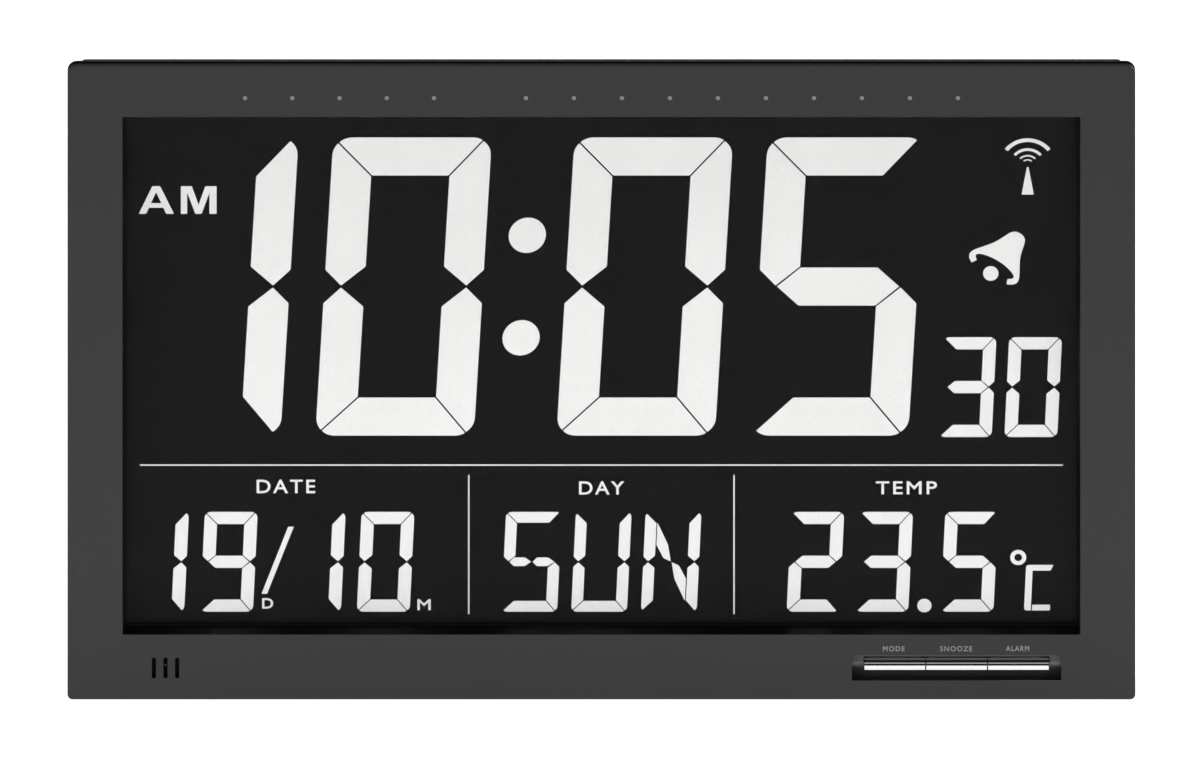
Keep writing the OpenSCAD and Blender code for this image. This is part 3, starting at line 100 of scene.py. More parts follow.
def surfaced(name, look):
    # One recipe for every opaque finish: two close colours and two roughness values mixed by a
    # fine grain, a slower cloud for handling marks, and a bump that takes the same grain
    material, tree = newMaterial(name)
    place = addNode(tree, "ShaderNodeTexCoord").outputs["Object"]
    if "stretch" in look:
        place = addNode(tree, "ShaderNodeMapping", {"Scale": look["stretch"]},
                        {"Vector": place}).outputs["Vector"]
    grain = addNode(tree, "ShaderNodeTexNoise", {
        "Scale": 1 / (look["grainMm"] * mm), "Detail": look.get("detail", 2),
        "Roughness": grainPlan["rough"],
    }, {"Vector": place})
    cloud = addNode(tree, "ShaderNodeTexNoise", {
        "Scale": 1 / (grainPlan["cloudMm"] * mm), "Detail": 2,
    }, {"Vector": place})
    blend = addNode(tree, "ShaderNodeMath", {
        "operation": "MULTIPLY_ADD", 1: grainPlan["cloudShare"],
    }, {0: cloud.outputs["Fac"], 2: grain.outputs["Fac"]})
    spread = addNode(tree, "ShaderNodeMapRange", {
        "From Min": grainPlan["from"], "From Max": grainPlan["to"],
    }, {"Value": blend.outputs[0]})
    color = addNode(tree, "ShaderNodeValToRGB", None, {"Fac": spread.outputs[0]})
    color.color_ramp.elements[0].color = linear(look["low"])
    color.color_ramp.elements[1].color = linear(look["high"])
    rough = addNode(tree, "ShaderNodeMapRange", {
        "To Min": look["rough"][0], "To Max": look["rough"][1],
    }, {"Value": spread.outputs[0]})
    bump = addNode(tree, "ShaderNodeBump", {
        "Strength": look.get("bump", 0.3), "Distance": look.get("bumpMm", 0.03) * mm,
    }, {"Height": grain.outputs["Fac"]})
    shader = addNode(tree, "ShaderNodeBsdfPrincipled", {
        "Metallic": look.get("metallic", 0.0), "IOR": look.get("ior", 1.5),
        "Specular IOR Level": look.get("specular", 0.5),
    }, {
        "Base Color": color.outputs["Color"], "Roughness": rough.outputs[0],
        "Normal": bump.outputs["Normal"],
    })
    addNode(tree, "ShaderNodeOutputMaterial", None, {"Surface": shader.outputs[0]})
    return material


looks = {
    # ABS from a spark-eroded mould: even dark grey, dull, with a grain of about half a millimetre
    "sparkErodedAbs": {
        "low": "#262627", "high": "#2d2d2e", "rough": (0.52, 0.64), "grainMm": 0.5,
        "bump": 0.22, "bumpMm": 0.02, "ior": 1.53, "specular": 0.18,
    },
    # the same ABS on the rear mouldings, from a coarser mould
    "coarseErodedAbs": {
        "low": "#242425", "high": "#2e2e2f", "rough": (0.55, 0.7), "grainMm": 0.9,
        "bump": 0.4, "bumpMm": 0.05, "ior": 1.53, "specular": 0.3,
    },
    # ABS buttons, smoother than the cover round them
    "satinAbs": {
        "low": "#3a3a3b", "high": "#424243", "rough": (0.36, 0.44), "grainMm": 0.4,
        "bump": 0.1, "bumpMm": 0.01, "ior": 1.53,
    },
    # chrome plated ABS: a clear mirror with a very slight ripple from the plastic below
    "chromePlatedAbs": {
        "low": "#e8e9ea", "high": "#eff0f1", "rough": (0.05, 0.09), "grainMm": 2.5,
        "bump": 0.04, "bumpMm": 0.01, "metallic": 1.0,
    },
    # acetal of plungers, clips and the carrier: smooth, waxy black
    "blackAcetal": {
        "low": "#0e0e0f", "high": "#141415", "rough": (0.3, 0.4), "grainMm": 1.0,
        "bump": 0.05, "bumpMm": 0.01, "ior": 1.48,
    },
    # rear glass with its black backing, seen through the front glass: a flat, near-black field
    "blackBackedGlass": {
        "low": "#09090a", "high": "#0b0b0c", "rough": (0.5, 0.6), "grainMm": 0.6,
        "bump": 0.05, "bumpMm": 0.005, "ior": 1.52, "specular": 0.04,
    },
    # crystal areas that let the pale backing through: near white, with the sparkle of the
    # film's anti-glare grain, drawn twice as coarse as it is so that it shows
    "palePixelField": {
        "low": "#e6e6e4", "high": "#f6f6f5", "rough": (0.8, 0.9), "grainMm": 0.55,
        "bump": 0.1, "bumpMm": 0.01, "specular": 0.1, "detail": 4,
    },
    # dyed polariser on the back of the display
    "dyedFilm": {
        "low": "#0b0b0c", "high": "#101011", "rough": (0.3, 0.4), "grainMm": 1.0,
        "bump": 0.05, "bumpMm": 0.005, "ior": 1.49,
    },
    # closed-cell foam: dull and slightly crumbly
    "closedCellFoam": {
        "low": "#2b2b2c", "high": "#3c3c3d", "rough": (0.85, 0.95), "grainMm": 0.3,
        "bump": 0.6, "bumpMm": 0.08, "specular": 0.2,
    },
    # the gasket round the display: soft black foam that lets no light past
    "blackGasketFoam": {
        "low": "#0a0a0b", "high": "#121213", "rough": (0.85, 0.95), "grainMm": 0.3,
        "bump": 0.4, "bumpMm": 0.05, "specular": 0.1,
    },
    # the polished part of the front's mould, in the trough behind the keys
    "polishedAbs": {
        "low": "#171718", "high": "#1b1b1c", "rough": (0.4, 0.46), "grainMm": 1.5,
        "bump": 0.05, "bumpMm": 0.01, "ior": 1.53, "specular": 0.85,
    },
    # painted shade: near-black ABS on the walls round the window, the keys and the slots, standing in
    # for the shade in these recesses
    "recessShadeAbs": {
        "low": "#060607", "high": "#0a0a0b", "rough": (0.5, 0.62), "grainMm": 0.5,
        "bump": 0.15, "bumpMm": 0.02, "ior": 1.53, "specular": 0.2,
    },
    # nickel plated spring steel of contacts and switch covers
    "nickelPlatedSteel": {
        "low": "#b4b5b2", "high": "#c8c9c6", "rough": (0.2, 0.32), "grainMm": 0.5,
        "bump": 0.1, "bumpMm": 0.01, "metallic": 1.0,
    },
    # zinc plated screws, slightly blue and softly scuffed
    "zincPlatedSteel": {
        "low": "#8f9296", "high": "#a6a9ad", "rough": (0.3, 0.45), "grainMm": 0.4,
        "bump": 0.15, "bumpMm": 0.02, "metallic": 1.0,
    },
    # fibreglass board under green solder mask, with the weave showing faintly
    "greenMaskedBoard": {
        "low": "#14492c", "high": "#1c5c38", "rough": (0.3, 0.42), "grainMm": 0.6,
        "bump": 0.2, "bumpMm": 0.02, "ior": 1.55, "stretch": (1.0, 1.0, 2.4),
    },
    # the same board under black mask, whose black is painted shade that keeps the slots in front of it
    # dark
    "slotShadeBoard": {
        "low": "#070708", "high": "#0c0c0d", "rough": (0.5, 0.6), "grainMm": 0.6,
        "bump": 0.2, "bumpMm": 0.02, "ior": 1.55, "stretch": (1.0, 1.0, 2.4), "specular": 0.1,
    },
    # tinned flat cable in clear tape: pale grey with lengthwise streaks
    "tapedFlatCable": {
        "low": "#a4a4a2", "high": "#c6c6c4", "rough": (0.4, 0.5), "grainMm": 0.8,
        "bump": 0.2, "bumpMm": 0.03, "stretch": (2.0, 0.2, 0.05),
    },
    # PVC wire sleeve, dark red and slightly oily
    "redPvcSleeve": {
        "low": "#6d1f1e", "high": "#84302c", "rough": (0.32, 0.42), "grainMm": 0.8,
        "bump": 0.05, "bumpMm": 0.01, "ior": 1.53,
    },
    # black epoxy over a chip: glossy, with a few dull patches
    "pouredEpoxy": {
        "low": "#0a0a0b", "high": "#121213", "rough": (0.18, 0.36), "grainMm": 3.0,
        "bump": 0.1, "bumpMm": 0.03, "ior": 1.55,
    },
    # sintered ferrite: dark grey, dry and finely pitted
    "sinteredFerrite": {
        "low": "#28282a", "high": "#363638", "rough": (0.6, 0.75), "grainMm": 0.4,
        "bump": 0.5, "bumpMm": 0.04,
    },
    # enamelled copper winding: orange-brown with a fine line for every turn
    "enamelledCopper": {
        "low": "#8a4a22", "high": "#b8692f", "rough": (0.25, 0.4), "grainMm": 0.5,
        "bump": 0.6, "bumpMm": 0.1, "metallic": 1.0, "stretch": (2.0, 0.05, 0.05),
    },
    # rolled brass of the buzzer disc, slightly tarnished
    "rolledBrass": {
        "low": "#a5823a", "high": "#c09a4c", "rough": (0.3, 0.42), "grainMm": 0.7,
        "bump": 0.1, "bumpMm": 0.01, "metallic": 1.0, "stretch": (0.2, 1.0, 2.0),
    },
    # fired silver on the buzzer's ceramic: warm white and dull
    "firedSilver": {
        "low": "#cfcabb", "high": "#dcd8cb", "rough": (0.5, 0.62), "grainMm": 0.5,
        "bump": 0.2, "bumpMm": 0.02,
    },
    # printed shrink sleeve of a cell: slate blue film, glossy where it is tight
    "shrinkSleeve": {
        "low": "#33475a", "high": "#3b5166", "rough": (0.2, 0.3), "grainMm": 2.0,
        "bump": 0.05, "bumpMm": 0.02, "ior": 1.53,
    },
    # pad-printed ink, mid grey and flat, on the dark plastic
    "greyPadInk": {
        "low": "#707070", "high": "#7e7e7e", "rough": (0.55, 0.65), "grainMm": 0.3,
        "bump": 0.1, "bumpMm": 0.005, "specular": 0.3,
    },
    # the same ink in white, on keys and cells
    "whitePadInk": {
        "low": "#c4c4c2", "high": "#d0d0ce", "rough": (0.5, 0.6), "grainMm": 0.3,
        "bump": 0.1, "bumpMm": 0.005, "specular": 0.3,
    },
}
finishes = {name: surfaced(name, look) for name, look in looks.items()}


def seeThrough(name, look):
    # Clear sheets: a little of a dark tint by alpha, and a sheen that a fine noise makes uneven
    material, tree = newMaterial(name)
    place = addNode(tree, "ShaderNodeTexCoord").outputs["Object"]
    grain = addNode(tree, "ShaderNodeTexNoise", {"Scale": 1 / (look["grainMm"] * mm), "Detail": 2},
                    {"Vector": place})
    dull = addNode(tree, "ShaderNodeMapRange", {
        "To Min": look["rough"][0], "To Max": look["rough"][1],
    }, {"Value": grain.outputs["Fac"]})
    shader = addNode(tree, "ShaderNodeBsdfPrincipled", {
        "Base Color": linear(look["tint"]), "IOR": look["ior"], "Alpha": look["alpha"],
    }, {"Roughness": dull.outputs[0]})
    addNode(tree, "ShaderNodeOutputMaterial", None, {"Surface": shader.outputs[0]})
    return material


# polariser with an anti-glare face: nearly clear, and it takes the mirror off the glass
finishes["antiGlareFilm"] = seeThrough("antiGlareFilm", {
    "tint": "#0c0c0d", "alpha": 0.05, "rough": (0.5, 0.6), "grainMm": 0.5, "ior": 1.49,
})
# soda-lime display glass: clear and smooth
finishes["clearSheetGlass"] = seeThrough("clearSheetGlass", {
    "tint": "#101211", "alpha": 0.02, "rough": (0.04, 0.06), "grainMm": 3.0, "ior": 1.52,
})

slotFinish = {
    "frame_plastic": "sparkErodedAbs", "cover_plastic": "coarseErodedAbs",
    "black_plastic": "blackAcetal", "key_plastic": "satinAbs",
    "chrome_key": "chromePlatedAbs", "display_glass": "clearSheetGlass",
    "polarising_film": "antiGlareFilm", "lit_segment": "palePixelField",
    "foam_rubber": "closedCellFoam", "circuit_board": "greenMaskedBoard",
    "flat_cable": "tapedFlatCable", "wire_sleeve": "redPvcSleeve",
    "chip_resin": "pouredEpoxy", "contact_steel": "nickelPlatedSteel",
    "screw_steel": "zincPlatedSteel", "ferrite": "sinteredFerrite",
    "copper_wire": "enamelledCopper", "buzzer_brass": "rolledBrass",
    "buzzer_ceramic": "firedSilver", "cell_sleeve": "shrinkSleeve",
}
nodeFinish = {
    "rear_glass": "blackBackedGlass", "rear_film": "dyedFilm",
    # the sensor board's black is painted shade seen through the slots
    "sensor_board": "slotShadeBoard", "thermistor": "pouredEpoxy",
    "display_gasket": "blackGasketFoam",
}
nodeSlot = {part["node"]: part["material_slot"] for part in frame["record"]["subparts"]}


def wear(obj, finish):
    obj.data.materials.clear()
    obj.data.materials.append(finishes[finish])


def finishOf(node):
    return nodeFinish.get(node, slotFinish[nodeSlot[node]])


for nodeName in nodeSlot:
    wear(cadNodes[nodeName], finishOf(nodeName))
print("materials ready:", len(finishes))


def newObject(name, data):
    obj = bpy.data.objects.new(name, data)
    bpy.context.scene.collection.objects.link(obj)
    return obj


def shapeOf(points, faces):
    # A closed form from points in millimetres, merged and turned to face outwards
    shape = bmesh.new()
    corners = [shape.verts.new(Vector(p) * mm) for p in points]
    for face in faces:
        shape.faces.new([corners[c] for c in face])
    bmesh.ops.remove_doubles(shape, verts=shape.verts, dist=mergeMm["made"] * mm)
    bmesh.ops.recalc_face_normals(shape, faces=shape.faces)
    return shape


def meshObject(name, shape, smooth=True):
    mesh = bpy.data.meshes.new(name)
    shape.to_mesh(mesh)
    shape.free()
    mesh.polygons.foreach_set("use_smooth", [smooth] * len(mesh.polygons))
    if smooth:
        mesh.set_sharp_from_angle(angle=sharpAngle)
    return newObject(name, mesh)


def settle(obj):
    # Turns what the object shows into a plain mesh, with nothing live left on it
    bpy.context.view_layer.update()
    shown = obj.evaluated_get(bpy.context.evaluated_depsgraph_get())
    mesh = bpy.data.meshes.new_from_object(shown)
    mesh.name = obj.name
    obj.modifiers.clear()
    obj.data = mesh
    return obj


def copyOf(node):
    # A node's form as few flat faces, merged from its loose triangles
    source = cadNodes[node].data
    shape = bmesh.new()
    corners = [shape.verts.new(v.co) for v in source.vertices]
    for face in source.polygons:
        shape.faces.new([corners[c] for c in face.vertices])
    bmesh.ops.remove_doubles(shape, verts=shape.verts, dist=mergeMm["copied"] * mm)
    bmesh.ops.dissolve_limit(shape, angle_limit=flatAngle, verts=shape.verts, edges=shape.edges)
    return shape


def standFor(obj, node):
    wear(obj, finishOf(node))
    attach(obj, cadNodes[node]["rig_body"])
    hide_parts(node)
    return obj


def roundedCopy(node, name, radius, share, segments=3, cutters=None, shape=None):
    # The node, cut where there are cutters, with its edges rounded: share gives each sharp
    # edge's part of the radius
    shape = shape or copyOf(node)
    if cutters:
        blank = meshObject(name, shape, smooth=False)
        cut = blank.modifiers.new("cutting", "BOOLEAN")
        cut.operation = "DIFFERENCE"
        cut.solver = "EXACT"
        cut.object = cutters
        shape = bmesh.new()
        shape.from_mesh(settle(blank).data)
        bpy.data.objects.remove(blank)
    weight = shape.edges.layers.float.new("bevel_weight_edge")
    for edge in shape.edges:
        if len(edge.link_faces) == 2 and edge.calc_face_angle(0) > sharpAngle:
            edge[weight] = share(edge.verts[0].co / mm, edge.verts[1].co / mm)
    obj = meshObject(name, shape)
    bevel = obj.modifiers.new("rounding", "BEVEL")
    bevel.width = radius * mm
    bevel.segments = segments
    bevel.limit_method = "WEIGHT"
    bevel.use_clamp_overlap = False
    bevel.harden_normals = True
    return settle(obj)


frameEdges = {  # millimetres for the radius, and shares of it for each kind of edge
    "radius": 0.6, "outside": 0.5, "window": 0.35, "windowCorner": 1.0, "pocket": 0.35,
    "slots": 0.2, "groove": 0.3,
}
frameFace = {  # how far in the face reaches, and the last edges behind it that are rounded
    "until": -14.95, "edgesUntil": -7.3, "inkRoom": 0.02, "wallFrom": 0.15,
}
frameBoxes = {  # left, right, low and high of each opening
    "window": (-165, 165, 23.6, 211.4), "pocket": (86.4, 158.4, 6.9, 16.0),
    "slots": (-156, -144, 7, 16),
}
windowCorner = {"x": 164.5, "low": 24.1, "high": 210.9, "reach": 0.7}
rim = {"side": 183, "top": 229, "foot": 1, "cornerSide": 180, "cornerTop": 226, "cornerFoot": 3}


def inBox(p, opening, reach=0.3):
    left, right, low, high = frameBoxes[opening]
    return left - reach < p.x < right + reach and low - reach < p.z < high + reach


def inWindowCorner(p):
    reach = windowCorner["reach"]
    return abs(abs(p.x) - windowCorner["x"]) < reach and (
        abs(p.z - windowCorner["low"]) < reach or abs(p.z - windowCorner["high"]) < reach)


def onRim(p):
    beside = abs(p.x) > rim["side"] or p.z > rim["top"] or p.z < rim["foot"]
    upOrDown = p.z > rim["cornerTop"] or p.z < rim["cornerFoot"]
    return beside or (abs(p.x) > rim["cornerSide"] and upOrDown)


def frameShare(a, b):
    if max(a.y, b.y) > frameFace["edgesUntil"]:
        return 0
    if max(a.y, b.y) < frameFace["until"]:
        for opening in frameBoxes:
            if inBox(a, opening) and inBox(b, opening):
                return frameEdges[opening]
        return frameEdges["outside"]
    if inWindowCorner(a) and inWindowCorner(b):
        return frameEdges["windowCorner"]
    return frameEdges["groove"] if onRim(a) and onRim(b) and abs(a.y - b.y) < 0.01 else 0


trough = {  # made upright behind the keys, between two heights and depths
    "low": 11.5, "high": 13.9, "front": 7.6, "back": 8.36, "until": -6, "sideLean": 0.5,
}
shape = copyOf("front_frame")
for corner in shape.verts:
    depth = (corner.co.y - faceY) / mm
    if (inBox(corner.co / mm, "pocket") and trough["low"] < corner.co.z / mm < trough["high"]
            and trough["front"] < depth < trough["back"]):
        corner.co.y = faceY + trough["back"] * mm
frontFrame = roundedCopy("front_frame", "frontFrame", frameEdges["radius"], frameShare, shape=shape)
for vertex in frontFrame.data.vertices:  # room for the ink in front of the face
    vertex.co.y = max(vertex.co.y, faceY + frameFace["inkRoom"] * mm)
standFor(frontFrame, "front_frame")
for finish in ("polishedAbs", "recessShadeAbs"):
    frontFrame.data.materials.append(finishes[finish])
for face in frontFrame.data.polygons:
    middle = face.center / mm
    behindFace = middle.y > faceY / mm + frameFace["wallFrom"]
    inTrough = middle.y < trough["until"] and abs(face.normal.x) < trough["sideLean"]
    if behindFace and inTrough and inBox(middle, "pocket"):
        face.material_index = 1
    # the walls behind the face round the openings take the near-black painted shade
    elif behindFace and any(inBox(middle, opening) for opening in frameBoxes):
        face.material_index = 2

keyLedge = {  # the chrome bars' step along the top front: a ledge, then a slope up and back
    "height": 12.34, "depth": 2.1, "back": 2.0, "rise": 2.86, "radius": 0.06, "front": -14.1,
    "lower": 0.2, "lowEdge": 11, "ends": (88, 157), "outside": -18,
}
low, start, outside = keyLedge["height"], faceY / mm + keyLedge["depth"], keyLedge["outside"]
high, stop = low + keyLedge["rise"], start + keyLedge["back"]
ledgeCutter = meshObject("ledgeCutter", shapeOf([
    (x, y, z) for x in keyLedge["ends"]
    for y, z in ((outside, low), (start, low), (stop, high), (outside, high))
], [
    (0, 1, 2, 3), (7, 6, 5, 4), (0, 4, 5, 1), (1, 5, 6, 2), (2, 6, 7, 3), (3, 7, 4, 0),
]), smooth=False)
for node, name in (("mode_key", "modeKey"), ("snooze_key", "snoozeKey"), ("alarm_key", "alarmKey")):
    shape = copyOf(node)
    for corner in shape.verts:
        if corner.co.y < keyLedge["front"] * mm and corner.co.z < keyLedge["lowEdge"] * mm:
            corner.co.z -= keyLedge["lower"] * mm
    standFor(roundedCopy(node, name, keyLedge["radius"], lambda a, b: max(a.y, b.y) < keyLedge["front"],
                         cutters=ledgeCutter, shape=shape), node)
bpy.data.objects.remove(ledgeCutter)
print("front mouldings rounded")

cellDepth = 8.53  # behind the front glass, which ends at 8.4
unitRing = {"at": (143.8, 48.6), "reach": 3, "move": (-0.17, 0.17), "hole": 2.0, "holeShare": 0.86}
unitLetter = {  # the C: its bars' inner edges and left ends, its right ends, its outer corners
    "from": 147, "lowInner": 31.85, "highInner": 43.75, "touch": 0.3, "thinner": 0.25,
    "leftEnd": 149.3, "highFrom": 148.75, "highGap": -0.17, "lowFrom": 148, "lowUntil": 31,
    "lowGap": 0.22, "rightEnd": 153, "rightUntil": 45, "slant": 0.85, "shorter": 0.5,
    "cornerX": (145.3, 146.8), "cornerHeights": (29.55, 46.05), "cornerTouch": 0.15,
    "radius": 0.95,
}
thinLines = {  # where the dividers run, and the share of their thickness that stays
    "height": 82.3, "column": 45.7, "reach": 0.35, "share": 0.78,
}


def trimUnitSign(shape):
    # Thinner bars, a slanted end above and a shorter one below, and two round corners
    ringX, ringZ = unitRing["at"]
    bars = unitLetter
    for v in shape.verts:
        x, z = v.co.x / mm, v.co.z / mm
        toRing = math.hypot(x - ringX, z - ringZ)
        if toRing < unitRing["reach"]:
            share = unitRing["holeShare"] if toRing < unitRing["hole"] else 1
            v.co.x = (ringX + unitRing["move"][0] + (x - ringX) * share) * mm
            v.co.z = (ringZ + unitRing["move"][1] + (z - ringZ) * share) * mm
        if x < bars["from"]:
            continue
        high = abs(z - bars["highInner"]) < bars["touch"]
        low = abs(z - bars["lowInner"]) < bars["touch"]
        if high or low:
            v.co.z += (bars["thinner"] if high else -bars["thinner"]) * mm
        if x > bars["rightEnd"] and z < bars["rightUntil"]:
            v.co.x -= (bars["slant"] if high else bars["shorter"]) * mm
        if x < bars["leftEnd"] and (high or x > bars["highFrom"]):
            v.co.x += bars["highGap"] * mm
        if x < bars["leftEnd"] and (low or (z < bars["lowUntil"] and x > bars["lowFrom"])):
            v.co.x += bars["lowGap"] * mm

    def atCorner(v):
        left, right = bars["cornerX"]
        nearest = min(abs(v.co.z / mm - z) for z in bars["cornerHeights"])
        return left < v.co.x / mm < right and nearest < bars["cornerTouch"]

    outer = [edge for edge in shape.edges
             if all(atCorner(v) for v in edge.verts)
             and abs(edge.verts[0].co.z - edge.verts[1].co.z) < 0.1 * mm]
    bmesh.ops.bevel(shape, geom=outer, offset=bars["radius"] * mm, segments=4, profile=0.5,
                    affect="EDGES")


def thinDividers(shape):
    for v in shape.verts:
        x, z = abs(v.co.x / mm), v.co.z / mm
        if abs(z - thinLines["height"]) < thinLines["reach"]:
            v.co.z = (thinLines["height"] + (z - thinLines["height"]) * thinLines["share"]) * mm
        elif abs(x - thinLines["column"]) < thinLines["reach"] and z < thinLines["height"]:
            x = thinLines["column"] + (x - thinLines["column"]) * thinLines["share"]
            v.co.x = math.copysign(x * mm, v.co.x)


for node, name in (("time_digits", "timeDigits"), ("lower_digits", "lowerDigits"),
                   ("display_marks", "displayMarks")):
    shape = copyOf(node)
    for corner in shape.verts:
        corner.co.y = max(corner.co.y, faceY + cellDepth * mm)
    if node == "lower_digits":
        trimUnitSign(shape)
    if node == "display_marks":
        thinDividers(shape)
    standFor(meshObject(name, shape, smooth=False), node)


def typed(name, text, spacing):
    curve = bpy.data.curves.new(name, "FONT")
    curve.body = text
    curve.space_character = spacing
    curve.resolution_u = 5
    return curve


def outlined(name, outlines):
    # A flat form from closed outlines, where one inside another is a hole
    curve = bpy.data.curves.new(name, "CURVE")
    curve.dimensions = "2D"
    curve.fill_mode = "BOTH"
    for outline in outlines:
        line = curve.splines.new("POLY")
        line.points.add(len(outline) - 1)
        for point, (x, y) in zip(line.points, outline):
            point.co = (x, y, 0, 1)
        line.use_cyclic_u = True
    return curve


def thicken(shape, bold):
    # Moves each point of a letter's outline outwards from the one or two walls that meet there
    moves = []
    for vertex in shape.verts:
        walls = []
        for face in vertex.link_faces:
            if abs(face.normal.y) < 0.5 and all((face.normal - wall).length > 0.01 for wall in walls):
                walls.append(face.normal.copy())
        total = sum(walls[:2], Vector())
        lean = walls[0].dot(walls[1]) if len(walls) > 1 else 0
        moves.append(total * bold * mm / max(0.3, 1 + lean))
    for vertex, move in zip(shape.verts, moves):
        vertex.co += move


def printed(name, curve, box, depth, thick, facing=1, bold=0.0):
    # A flat curve as a thin solid, fitted to (left, right, low, high) in millimetres, from a
    # depth behind the face. It is read from behind where facing is -1, and bold thickens it
    curve.extrude = 0.5
    flat = newObject(name, curve)
    bpy.context.view_layer.update()
    raw = bpy.data.meshes.new_from_object(
        flat.evaluated_get(bpy.context.evaluated_depsgraph_get()))
    bpy.data.objects.remove(flat)
    xs = [v.co.x for v in raw.vertices]
    ys = [v.co.y for v in raw.vertices]
    left, right, low, high = (edge + way * bold for edge, way in zip(box, (1, -1, 1, -1)))
    for v in raw.vertices:
        across = (v.co.x - min(xs)) / (max(xs) - min(xs))
        up = (v.co.y - min(ys)) / (max(ys) - min(ys))
        x = left + across * (right - left) if facing > 0 else right - across * (right - left)
        y = depth + (0.5 - facing * v.co.z) * thick
        v.co = Vector((x * mm, faceY + y * mm, (low + up * (high - low)) * mm))
    shape = bmesh.new()
    shape.from_mesh(raw)
    bmesh.ops.remove_doubles(shape, verts=shape.verts, dist=mergeMm["printed"] * mm)
    bmesh.ops.recalc_face_normals(shape, faces=shape.faces)
    thicken(shape, bold)
    return meshObject(name, shape, smooth=False)


displayWords = {  # the box of each word, how much bolder it is and how its letters are spaced
    "dateMark": ("DATE", (-118.8, -98.6, 72.1, 77.0), 0.08, 1.2),
    "dayMark": ("DAY", (-7.7, 7.8, 71.6, 76.4), 0.08, 1.2),
    "temperatureMark": ("TEMP", (94.6, 115.6, 71.7, 76.4), 0.08, 1.2),
    "dayOfMonthMark": ("D", (-116.9, -113.1, 30.2, 34.0), 0.11, 1.0),
    "monthMark": ("M", (-63.4, -58.8, 29.65, 33.6), 0.08, 1.0),
}
wideLetters = {  # outlines in a unit square, and the box that each is fitted to
    "morningA": ([
        [(0, 0), (.21, 0), (.29, .22), (.7, .22), (.78, 0), (1, 0), (.605, 1), (.385, 1)],
        [(.495, .78), (.345, .385), (.64, .385)],
    ], (-159.4, -147.3, 173.5, 183.5)),
    "morningM": ([
        [(0, 0), (.175, 0), (.175, .78), (.405, 0), (.58, 0), (.8, .76), (.8, 0), (1, 0), (1, 1),
         (.685, 1), (.495, .325), (.305, 1), (0, 1)],
    ], (-144.9, -132.6, 173.5, 183.5)),
}
wordPlace = {"cellThick": 0.1, "inkDepth": 0.0, "inkThick": 0.03, "inkBold": 0.05, "inkSpacing": 1.25}
marks = [(name, typed(name, text, spacing), box, bold)
         for name, (text, box, bold, spacing) in displayWords.items()]
marks += [(name, outlined(name, outlines), box, 0) for name, (outlines, box) in wideLetters.items()]
for name, curve, box, bold in marks:
    word = printed(name, curve, box, cellDepth, wordPlace["cellThick"], bold=bold)
    wear(word, "palePixelField")
    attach(word, "case")

keyWords = {
    "modeWord": ("MODE", (97.0, 104.5, 17.5, 19.4)),
    "snoozeWord": ("SNOOZE", (116.7, 127.8, 17.5, 19.4)),
    "alarmWord": ("ALARM", (139.4, 147.4, 17.6, 19.5)),
}
for name, (text, box) in keyWords.items():
    word = printed(name, typed(name, text, wordPlace["inkSpacing"]), box, wordPlace["inkDepth"],
                   wordPlace["inkThick"], bold=wordPlace["inkBold"])
    wear(word, "greyPadInk")
    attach(word, "case")
print("display and words ready")


def newTree(name, inputs):
    tree = bpy.data.node_groups.new(name, "GeometryNodeTree")
    tree.interface.new_socket("Geometry", in_out="INPUT", socket_type="NodeSocketGeometry")
    for label in inputs:
        tree.interface.new_socket(label, in_out="INPUT", socket_type="NodeSocketFloat")
    tree.interface.new_socket("Geometry", in_out="OUTPUT", socket_type="NodeSocketGeometry")
    return tree, addNode(tree, "NodeGroupInput").outputs


def finishTree(tree, geometry, finish):
    # Instances are made real and given their material, because an export drops instances
    real = addNode(tree, "GeometryNodeRealizeInstances", None, {"Geometry": geometry})
    painted = addNode(tree, "GeometryNodeSetMaterial", {"Material": finishes[finish]},
                      {"Geometry": real.outputs[0]})
    addNode(tree, "NodeGroupOutput", None, {0: painted.outputs[0]})


def growTree(name, places, tree, values, facings=None):
    # Runs a tree on points in millimetres, some of them with a way to face
    mesh = bpy.data.meshes.new(name)
    mesh.from_pydata([Vector(p) * mm for p in places], [], [])
    if facings:
        mesh.attributes.new("facing", "FLOAT", "POINT").data.foreach_set("value", facings)
    obj = newObject(name, mesh)
    modifier = obj.modifiers.new(name, "NODES")
    modifier.node_group = tree
    for item in tree.interface.items_tree:
        if item.in_out == "INPUT" and item.name in values:
            modifier[item.identifier] = values[item.name] * mm
    return settle(obj)


inkDots = {
    "diameter": 1.5, "height": 218.3, "thick": 0.03,
    "rows": ((-122.8, 16.28, 5), (-26.0, 16.54, 10)),  # first place, pitch, count
}
tree, given = newTree("dotRow", ("Diameter", "Thickness"))
half = addNode(tree, "ShaderNodeMath", {"operation": "MULTIPLY", 1: 0.5}, {0: given["Diameter"]})
dot = addNode(tree, "GeometryNodeMeshCylinder", {"Vertices": 20}, {
    "Radius": half.outputs[0], "Depth": given["Thickness"],
})
spread = addNode(tree, "GeometryNodeInstanceOnPoints", {"Rotation": (math.pi / 2, 0, 0)}, {
    "Points": given["Geometry"], "Instance": dot.outputs["Mesh"],
})
finishTree(tree, spread.outputs[0], "greyPadInk")
dotPlaces = [(first + i * pitch, faceY / mm + inkDots["thick"] / 2, inkDots["height"])
             for first, pitch, count in inkDots["rows"] for i in range(count)]
inkRow = growTree("inkDotRow", dotPlaces, tree, {
    "Diameter": inkDots["diameter"], "Thickness": inkDots["thick"],
})
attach(inkRow, "case")
print("dots ready:", len(dotPlaces))


coverEdges = {"radius": 0.5, "from": 12.5, "top": 222, "foot": 3}
rearKeyEdges = {"radius": 0.7, "from": 14.7, "segments": 4}


def coverShare(a, b):
    # Only the long edges along the top and foot of the back, which no screw well cuts
    topOrFoot = min(a.z, b.z) > coverEdges["top"] or max(a.z, b.z) < coverEdges["foot"]
    return 1 if min(a.y, b.y) > coverEdges["from"] and topOrFoot else 0


